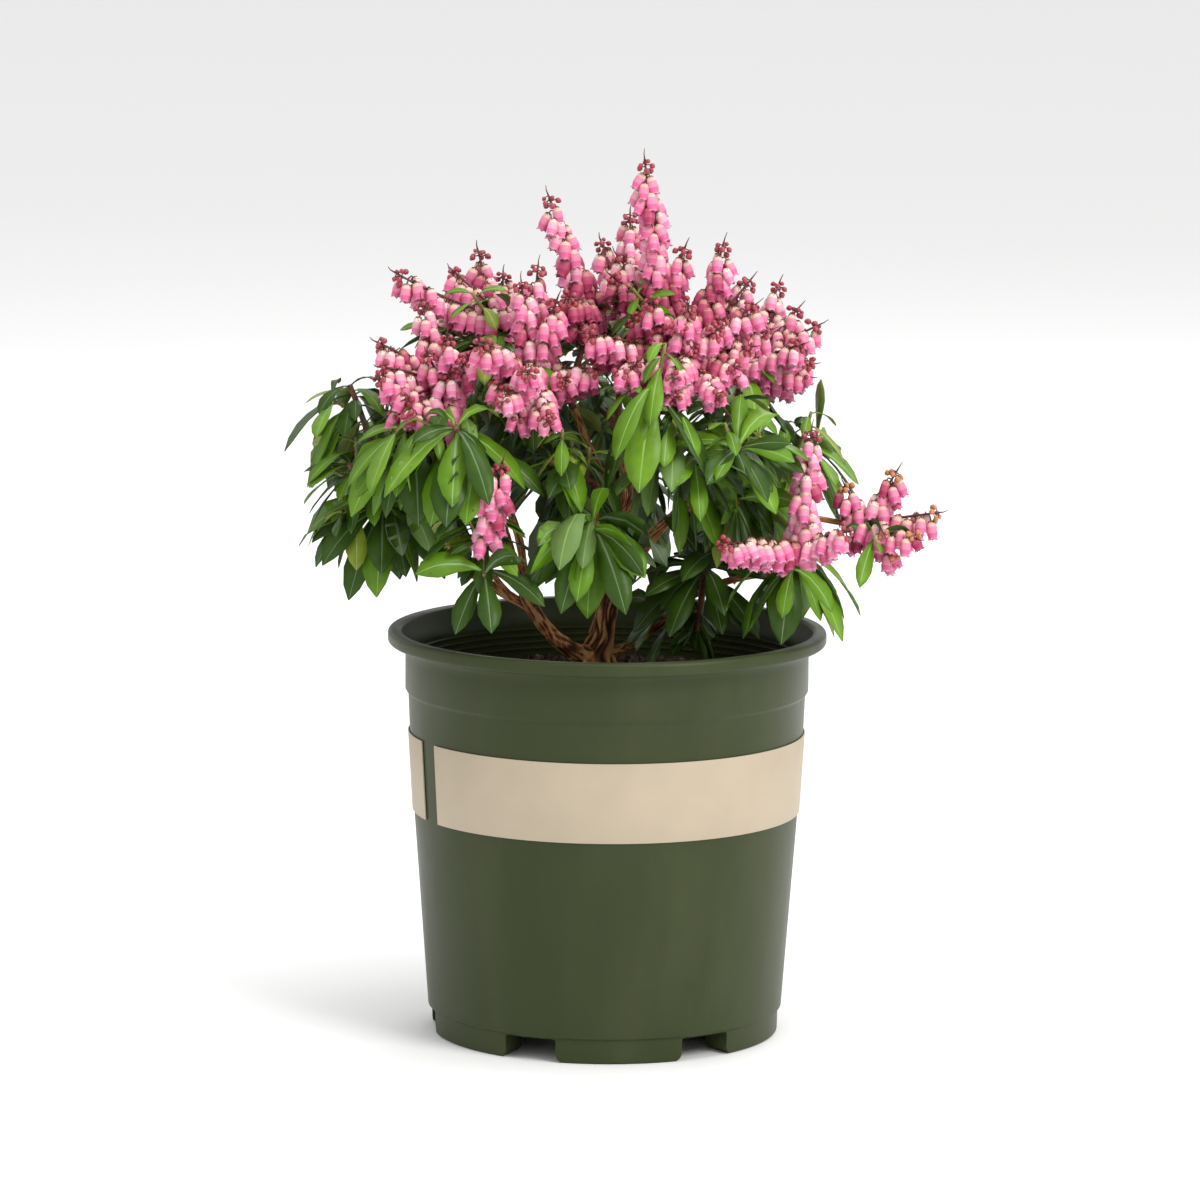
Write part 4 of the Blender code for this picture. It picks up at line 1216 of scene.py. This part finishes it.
def growBareLeaves(chance):
    s = fineSettings
    for (mass, index), (_, fine) in twigs.items():
        _, _, length, droop, _ = shoots[mass, index]
        for k in range(s["bareLeaves"]):
            root, direction = along(fine, s["bareFrom"] + s["bareRun"] * k / s["bareLeaves"])
            side, up = across(direction, upright)
            axis = (direction + upright * leafSettings["upturn"]).normalized()
            for _ in range(s["bareTries"]):
                outward = spoke(side, up, chance.uniform(*s["bareTurns"]))
                start = (direction * s["bareForward"] + outward).normalized()
                full = length * mm * chance.uniform(*s["barePart"])
                if placeLeaf(mass, index, root, start, axis, full, droop):
                    break


chance = random.Random(fineSettings["seed"])
sideTwigs = growSideTwigs(chance)
growBareLeaves(chance)
fillWhorls(chance)
print("finer growth:", len(sideTwigs), "side twigs,", len(leaves), "leaves")


# Leaves and twigs as they are seen

bladeSettings = {
    "outline": ((0.0, 0.06), (0.15, 0.22), (0.36, 0.64), (0.56, 0.95), (0.71, 0.99),
                (0.87, 0.66), (1.0, 0.03)),
    "lead": 0.17,                        # how much sooner it droops than the source's leaf
    "narrowest": 0.05, "rib": 0.075, "ribTaper": 1.3, "ribSunk": 0.03,
    "cup": 0.17, "cupAt": 0.62, "cupFall": 2.2,
    "thickness": 0.35 * mm, "thinning": (0.35, 0.65),
    "twist": (-26, 26), "curl": (0.9, 1.35), "slim": (0.68, 0.98),
}
tintSettings = {
    "seed": 41, "spread": 0.35,
    # leaves near the top, or rising a little below it, are young and short
    "top": 0.272, "rising": (0.235, 0.35), "young": 0.65,
    # the lean to the fresh tint on the right and at the front is painted light
    "reach": 0.1, "height": (0.17, 0.12), "share": 0.5, "right": 1.6, "frontY": -0.02, "front": 0.18,
    "mid": 0.60, "freshAndLit": 0.90, "olive": 0.07,
}


def fineLeaf(shape, root, direction, up, length, droop, twist, slim):
    # a blade with its midrib, two cupped halves and an underside of its own
    s = bladeSettings
    half = length * leafSettings["width"] * slim / 2
    columns = (-1.0, -s["rib"], s["rib"], 1.0)
    points, faces, kinds = [], [], []
    for t, part, centre, here, flat, normal in blade(root, direction, up, length, droop,
                                                     s["outline"], s["lead"]):
        turn = Matrix.Rotation(math.radians(twist) * t, 3, here)
        flat, normal = turn @ flat, turn @ normal
        row = []
        for column in columns:
            wide = half * max(part, s["narrowest"]) * column
            cup = s["cup"] * half * part * (1 - (abs(column) - s["cupAt"]) ** 2 * s["cupFall"])
            if abs(column) == s["rib"]:
                wide = min(half * part, s["rib"] * half * (s["ribTaper"] - t)) \
                    * (1 if column > 0 else -1)
                cup = -s["ribSunk"] * half
            row.append(centre + flat * wide + normal * cup)
        depth = normal * s["thickness"] * (s["thinning"][0] + s["thinning"][1] * (1 - t))
        points += row + [point - depth for point in row]
    wide, last = len(columns), len(s["outline"]) - 1
    for k in range(last):
        a, b = k * 2 * wide, (k + 1) * 2 * wide
        for j in range(wide - 1):
            faces.append((a + j, a + j + 1, b + j + 1, b + j))
            faces.append((a + wide + j + 1, a + wide + j, b + wide + j, b + wide + j + 1))
            kinds += [2, 2] if j == 1 else [0, 1]
        faces.append((a + wide, a, b, b + wide))
        faces.append((a + wide - 1, a + 2 * wide - 1, b + 2 * wide - 1, b + wide - 1))
        kinds += [0, 0]
    end = last * 2 * wide
    faces.append(tuple(range(wide)[::-1]) + tuple(range(wide, 2 * wide)))
    faces.append(tuple(range(end, end + wide)) + tuple(range(end + 2 * wide - 1, end + wide - 1, -1)))
    shape.add(points, faces, kinds + [2, 0])


def leafTint(root, chance):
    # tints are dealt out by place: fresh on the outer tips, deep inside and at the back
    # higher up and on the outer tips the fresh tint is young growth and partly painted light; on the
    # right and front it is painted light; the deep tint inside and at the back is partly painted
    # shade
    s = tintSettings
    outer = math.hypot(root.x, root.y) / s["reach"] * s["share"]
    higher = (root.z - s["height"][0]) / s["height"][1] * s["share"]
    score = outer + higher + (s["front"] if root.y < s["frontY"] else 0)
    score = score + s["right"] * root.x + chance.uniform(-s["spread"], s["spread"])
    if chance.random() < s["olive"]:
        return "leafOlive"
    if score > s["freshAndLit"]:
        return "leafFresh"
    return "leafMid" if score > s["mid"] else "leafDeep"


def makeLeaves():
    s, chance = bladeSettings, random.Random(tintSettings["seed"])
    top, young = tintSettings["top"], tintSettings["young"]
    high, steep = tintSettings["rising"]
    made = {name: Shape() for name in leafTints}
    for root, direction, axis, length, droop in leaves:
        if root.z > top or root.z > high and direction.z > steep:
            length *= young
        shape = made[leafTint(root, chance)]
        twist, curl = chance.uniform(*s["twist"]), chance.uniform(*s["curl"])
        fineLeaf(shape, root, direction, axis, length, droop * curl, twist,
                 chance.uniform(*s["slim"]))
    for name, shape in made.items():
        piece = shape.make(name, leafSurfaces(name))
        # the largest of them stands in for all the masses
        ridden(piece, "foliage", *(foliage if name == "leafDeep" else ()))


def makeTwigs():
    s, old, young = twigSettings, Shape(), Shape()
    for stem in stems:
        old.add(*rod(stem, s["radii"], s["sides"]))
    for _, fine in twigs.values():
        old.add(*rod(fine, s["fineRadii"], s["sides"], 0,
                     lambda k: 1 + s["knuckle"] * (k % s["knuckleEach"] == 0)))
    for path in sideTwigs:
        young.add(*rod(path, fineSettings["seenRadii"], fineSettings["seenSides"]))
    ridden(old.make("twigs", [surfaces["twigRed"]]), "bark")
    ridden(young.make("youngTwigs", [surfaces["twigGreen"]]), "bark")


# The flowers: bells, buds and the thin stalks that carry them

flowerSettings = {
    "seed": 51, "scale": 1.0, "spins": (3, 5),       # seeds for how bells and buds are turned
    "first": 0.05, "last": 0.92, "spacing": 1.15 * mm,
    "out": (1.3 * mm, 3.6 * mm), "outNarrows": (1.1, 0.35), "flatten": 0.25, "tilt": (4, 30),
    "size": (1.06, 0.22), "sizeSpread": (0.92, 1.05), "middle": 4.2,
    "apart": (3.9 * mm, 4.4 * mm), "stepsAside": (0, 35, -35, 70, -70, 105, -105, 150, 180),
    "pale": 0.26, "deep": 0.93,                      # shares of the draw, from 0 and up to 1
    # bells in this middle take the deepest tint as painted shade
    "inside": (0.01, 0.005, 0.033, 0.292),           # centre, radius and top of the shaded middle
    "buds": 7, "budSize": (1.35 * mm, 0.85 * mm), "budOut": (1.9 * mm, 1.25, 0.6),
    "rustBuds": "foliage_far_right",
    # shorter stalks beside each stalk: turned, lowered, part of its length
    "companions": ((26, -14, 0.86), (-30, -8, 0.80), (4, -26, 0.7)), "steep": 62,
    "companionRadii": (0.8 * mm, 0.5 * mm), "companionSpace": 1.5 * mm,
    "single": ("foliage_left_low", "foliage_right", "foliage_far_right", "foliage_left_top"),
    # radii at both ends, and sides
    "stalk": ((0.75 * mm, 0.42 * mm), 5), "wisp": ((0.38 * mm, 0.14 * mm), 4),
    "bellStalk": ((0.34 * mm, 0.30 * mm), 4), "budStalk": ((0.28 * mm, 0.24 * mm), 4),
    # how a bell's stalk bends over: the part of its reach, the rise, and how far it enters
    "bend": (0.7, 0.5, 0.3), "wispSteps": (2, 3.6), "wispTurn": (0.4, 0.2, 0.5),
}
bellShape = {
    # height below the top, radius, and the tint from there on down
    "profile": [(0.0, 0.7, 0), (0.8, 1.75, 0), (2.2, 2.3, 1), (5.2, 2.5, 2), (7.4, 2.0, 3)],
    "sides": 10, "ridge": 0.07, "lobes": ((2.65, 8.7), (1.95, 7.9)),
    "throat": (0.72, 7.0, 5.4),          # part of the lobes' width, its height and its depth
}
calyxShape = {
    # (reach, half width or drop) of a sepal's shoulders, its tip and its hollow underside
    "sepals": 5, "top": -0.5, "shoulder": (1.2, 0.75), "tip": (2.2, 1.7), "hollow": (1.0, 0.75),
}
budShape = {
    "sides": 7, "root": -0.15, "tip": 2.1,
    "profile": ((0.05, 0.45), (0.6, 0.95), (1.2, 0.9), (1.75, 0.5)),
}


def bellPattern():
    # an urn with five faint ridges and five small lobes round its mouth; it hangs along +Z
    s, rings, kinds = bellShape, [], []
    for drop, radius, band in s["profile"]:
        radii = [radius * mm * (1 + (s["ridge"] if k % 2 == 0 else -s["ridge"]))
                 for k in range(s["sides"])]
        rings.append(levelRing(drop * mm, radii))
        kinds += [band] * s["sides"]
    lobes = []
    for k in range(s["sides"]):
        radius, drop = s["lobes"][k % 2]
        angle = 2 * math.pi * k / s["sides"]
        lobes.append(Vector((math.cos(angle) * radius, math.sin(angle) * radius, drop)) * mm)
    narrow, inner, depth = s["throat"]
    rings += [lobes, [Vector((p.x * narrow, p.y * narrow, inner * mm)) for p in lobes],
              [Vector((0, 0, depth * mm))]]
    kinds += [3] * s["sides"] + [2] * s["sides"]         # inside the lobes, and the throat
    shape = Shape()
    shape.add(*loft(rings), kinds + [0])
    return shape


def calyxPattern():
    # the pointed sepals over the bell's shoulder
    s, shape = calyxShape, Shape()
    (wide, half), (reach, drop), (inner, sunk) = s["shoulder"], s["tip"], s["hollow"]
    for k in range(s["sepals"]):
        angle = 2 * math.pi * k / s["sepals"]
        out = Vector((math.cos(angle), math.sin(angle), 0))
        side = Vector((-out.y, out.x, 0))
        points = [Vector((0, 0, s["top"] * mm)), out * wide * mm + side * half * mm,
                  out * reach * mm + Vector((0, 0, drop * mm)), out * wide * mm - side * half * mm,
                  out * inner * mm + Vector((0, 0, sunk * mm))]
        shape.add(points, [(0, 1, 2, 3), (0, 4, 1), (1, 4, 2), (2, 4, 3), (3, 4, 0)])
    return shape


def budPattern():
    # of about one unit's radius, sized where it hangs
    s, shape = budShape, Shape()
    rings = [levelRing(drop, [radius] * s["sides"]) for drop, radius in s["profile"]]
    shape.add(*loft([[upright * s["root"]], *rings, [upright * s["tip"]]]))
    return shape


def hangTree(materials):
    nodes, inputs, output = newTree("hangOnPoints", {"Size": "Float", "Seed": "Int"})
    aimed = nodes.add("FunctionNodeAlignRotationToVector", {"axis": "Z"},
                      {"Vector": attribute(nodes, "FLOAT_VECTOR", "hang")})
    spin = nodes.add("FunctionNodeRandomValue", {"data_type": "FLOAT"},
                     {"Min": 0.0, "Max": anyTurn, "Seed": inputs["Seed"]})
    about = nodes.add("ShaderNodeCombineXYZ", None, {"Z": spin.outputs[1]})
    rotation = nodes.add("FunctionNodeRotateRotation", {"rotation_space": "LOCAL"},
                         {0: aimed.outputs[0], 1: about.outputs[0]})
    scale = nodes.add("ShaderNodeMath", {"operation": "MULTIPLY"},
                      {0: attribute(nodes, "FLOAT", "size"), 1: inputs["Size"]})
    return finishTree(nodes, output, materials, inputs["Geometry"], inputs["Shape"],
                      rotation.outputs[0], scale.outputs[0])


def hung(name, spots, shape, materials, seed):
    # repeats a flower's shape on points, each with its own hang and size
    mesh = bpy.data.meshes.new(name)
    mesh.from_pydata([tuple(top) for top, _, _ in spots], [], [])
    hangs = mesh.attributes.new("hang", "FLOAT_VECTOR", "POINT")
    hangs.data.foreach_set("vector", [c for _, hang, _ in spots for c in hang])
    sizes = mesh.attributes.new("size", "FLOAT", "POINT")
    sizes.data.foreach_set("value", [size for _, _, size in spots])
    made = repeated(name, newObject(name, mesh), shape, hangTree(materials),
                    {"Size": flowerSettings["scale"], "Seed": seed})
    made.data.shade_smooth()
    ridden(made, "foliage")


def crowded(spot, placed):
    # whether the middle of another bell is within the egg-shaped room of this one
    wide, tall = flowerSettings["apart"]
    for other in placed:
        gap = spot - other
        if abs(gap.z) < tall and (gap.x ** 2 + gap.y ** 2) / wide ** 2 + gap.z ** 2 / tall ** 2 < 1:
            return True
    return False


def withCompanions(lines, mass, index):
    # the source's own stalks, then shorter ones from the same root that fill the panicle
    s, grown = flowerSettings, [fine for _, fine in lines]
    for (points, _), (turn, rise, length, droop) in zip(lines, shoots[mass, index][4]):
        if mass in s["single"] or rise > s["steep"]:
            continue
        for aside, lowered, part in s["companions"]:
            fine = stalk(points[0], turn + aside, rise + lowered, length * part * mm, droop,
                         bellSettings["stalkSteps"])
            if thicket.clear(rod(fine, s["companionRadii"], 3, s["companionSpace"]), mass):
                grown.append(fine)
    return grown


def hangBell(fine, t, turn, placed, chance):
    # a bell at part t of its stalk, turned on until it isn't crowded, and the path to it
    s = flowerSettings
    part, rise, into = s["bend"]
    spot, direction = along(fine, t)
    side, up = across(direction, bellSettings["hint"])
    for nudge in s["stepsAside"]:
        outward = spoke(side, up, turn + nudge)
        outward.z *= s["flatten"]
        outward.normalize()
        reach = chance.uniform(*s["out"]) * (s["outNarrows"][0] - s["outNarrows"][1] * t)
        top = spot + outward * reach - Vector((0, 0, rise * mm))
        tilt = math.tan(math.radians(chance.uniform(*s["tilt"])))
        hang = (outward * tilt - upright).normalized()
        size = (s["size"][0] - s["size"][1] * t) * chance.uniform(*s["sizeSpread"])
        centre = top + hang * s["middle"] * mm * size
        if not crowded(centre, placed):
            placed.append(centre)
            bend = spot + outward * reach * part + Vector((0, 0, rise * mm))
            return (top, hang, size), [spot, bend, top + hang * into * mm]
    return None, None


def bellTint(centre, chance):
    # a few bells take the deep tint by chance, and those in the shaded middle take it as painted
    # shade
    s, draw = flowerSettings, chance.random()
    x, y, radius, top = s["inside"]
    if draw > s["deep"] or math.hypot(centre.x - x, centre.y - y) < radius and centre.z < top:
        return "bellDeep"
    return "bellPale" if draw < s["pale"] else "bellRose"


def hangBud(fine, k, turn):
    s = flowerSettings
    spot, direction = along(fine, s["last"] + (1 - s["last"]) * (k + 0.5) / s["buds"])
    side, up = across(direction, bellSettings["hint"])
    outward = spoke(side, up, turn)
    out, wide, narrows = s["budOut"]
    top = spot + outward * (out * (wide - narrows * k / s["buds"]))
    size = s["budSize"][0] + (s["budSize"][1] - s["budSize"][0]) * k / s["buds"]
    hang = (outward * 0.8 + Vector((0, 0, -0.7))).normalized()
    return (top, hang, size), [spot, top + hang * size * 0.2]


def makeFlowers():
    s, chance = flowerSettings, random.Random(flowerSettings["seed"])
    bells = {name: [] for name in bellTints}
    buds, rusts, carriers, placed = [], [], Shape(), []
    (near, far), aside = s["wispSteps"], Vector(s["wispTurn"])
    for (mass, index), lines in stalks.items():
        for fine in withCompanions(lines, mass, index):
            tip, ahead = along(fine, 1.0)
            wisp = [tip, tip + ahead * near * mm, tip + ahead * far * mm + aside * mm]
            carriers.add(*rod(fine, *s["stalk"]))
            carriers.add(*rod(wisp, *s["wisp"]))
            count = int(lengthOf(fine) * (s["last"] - s["first"]) / s["spacing"])
            phase = chance.uniform(0, 360)
            for k in range(count):
                t = s["first"] + (s["last"] - s["first"]) * (k + 0.5) / count
                bell, path = hangBell(fine, t, phase + golden * k, placed, chance)
                if bell:
                    bells[bellTint(placed[-1], chance)].append(bell)
                    carriers.add(*rod(path, *s["bellStalk"]))
            for k in range(s["buds"]):
                bud, path = hangBud(fine, k, phase + golden * (count + k))
                (rusts if mass == s["rustBuds"] else buds).append(bud)
                carriers.add(*rod(path, *s["budStalk"]))
    bellSpins, budSpins = s["spins"]
    for name, spots in bells.items():
        hung(name, spots, bellPattern(), bellSurfaces(name), bellSpins)
    sepals = [spot for spots in bells.values() for spot in spots]
    hung("calyxes", sepals, calyxPattern(), [surfaces["calyx"]], bellSpins)
    hung("buds", buds, budPattern(), [surfaces["budRed"]], budSpins)
    hung("budRusts", rusts, budPattern(), [surfaces["budRust"]], budSpins)
    ridden(carriers.make("flowerStalks", [surfaces["maroon"]]), "foliage")
    print("flowers:", len(sepals), "bells,", len(buds) + len(rusts), "buds")


makeLeaves()
makeTwigs()
makeFlowers()

floorSettings = {"colour": (0.97, 0.97, 0.97, 1), "roughness": 0.85, "side": 16, "front": -8,
                 "back": 24}


def makeFloor():
    s, shape = floorSettings, Shape()
    surface = Surface("floorPale", Base_Color=s["colour"], Roughness=s["roughness"])
    corners = ((-s["side"], s["front"]), (s["side"], s["front"]), (s["side"], s["back"]),
               (-s["side"], s["back"]))
    shape.add([Vector((x, y, 0)) for x, y in corners], [(0, 1, 2, 3)])
    shape.make("floor", [surface.material])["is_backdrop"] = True


makeFloor()
total = 0
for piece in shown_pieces():
    count = sum(len(face.vertices) - 2 for face in piece.data.polygons)
    total += count
    print(piece.name, count)
print("triangles", total)
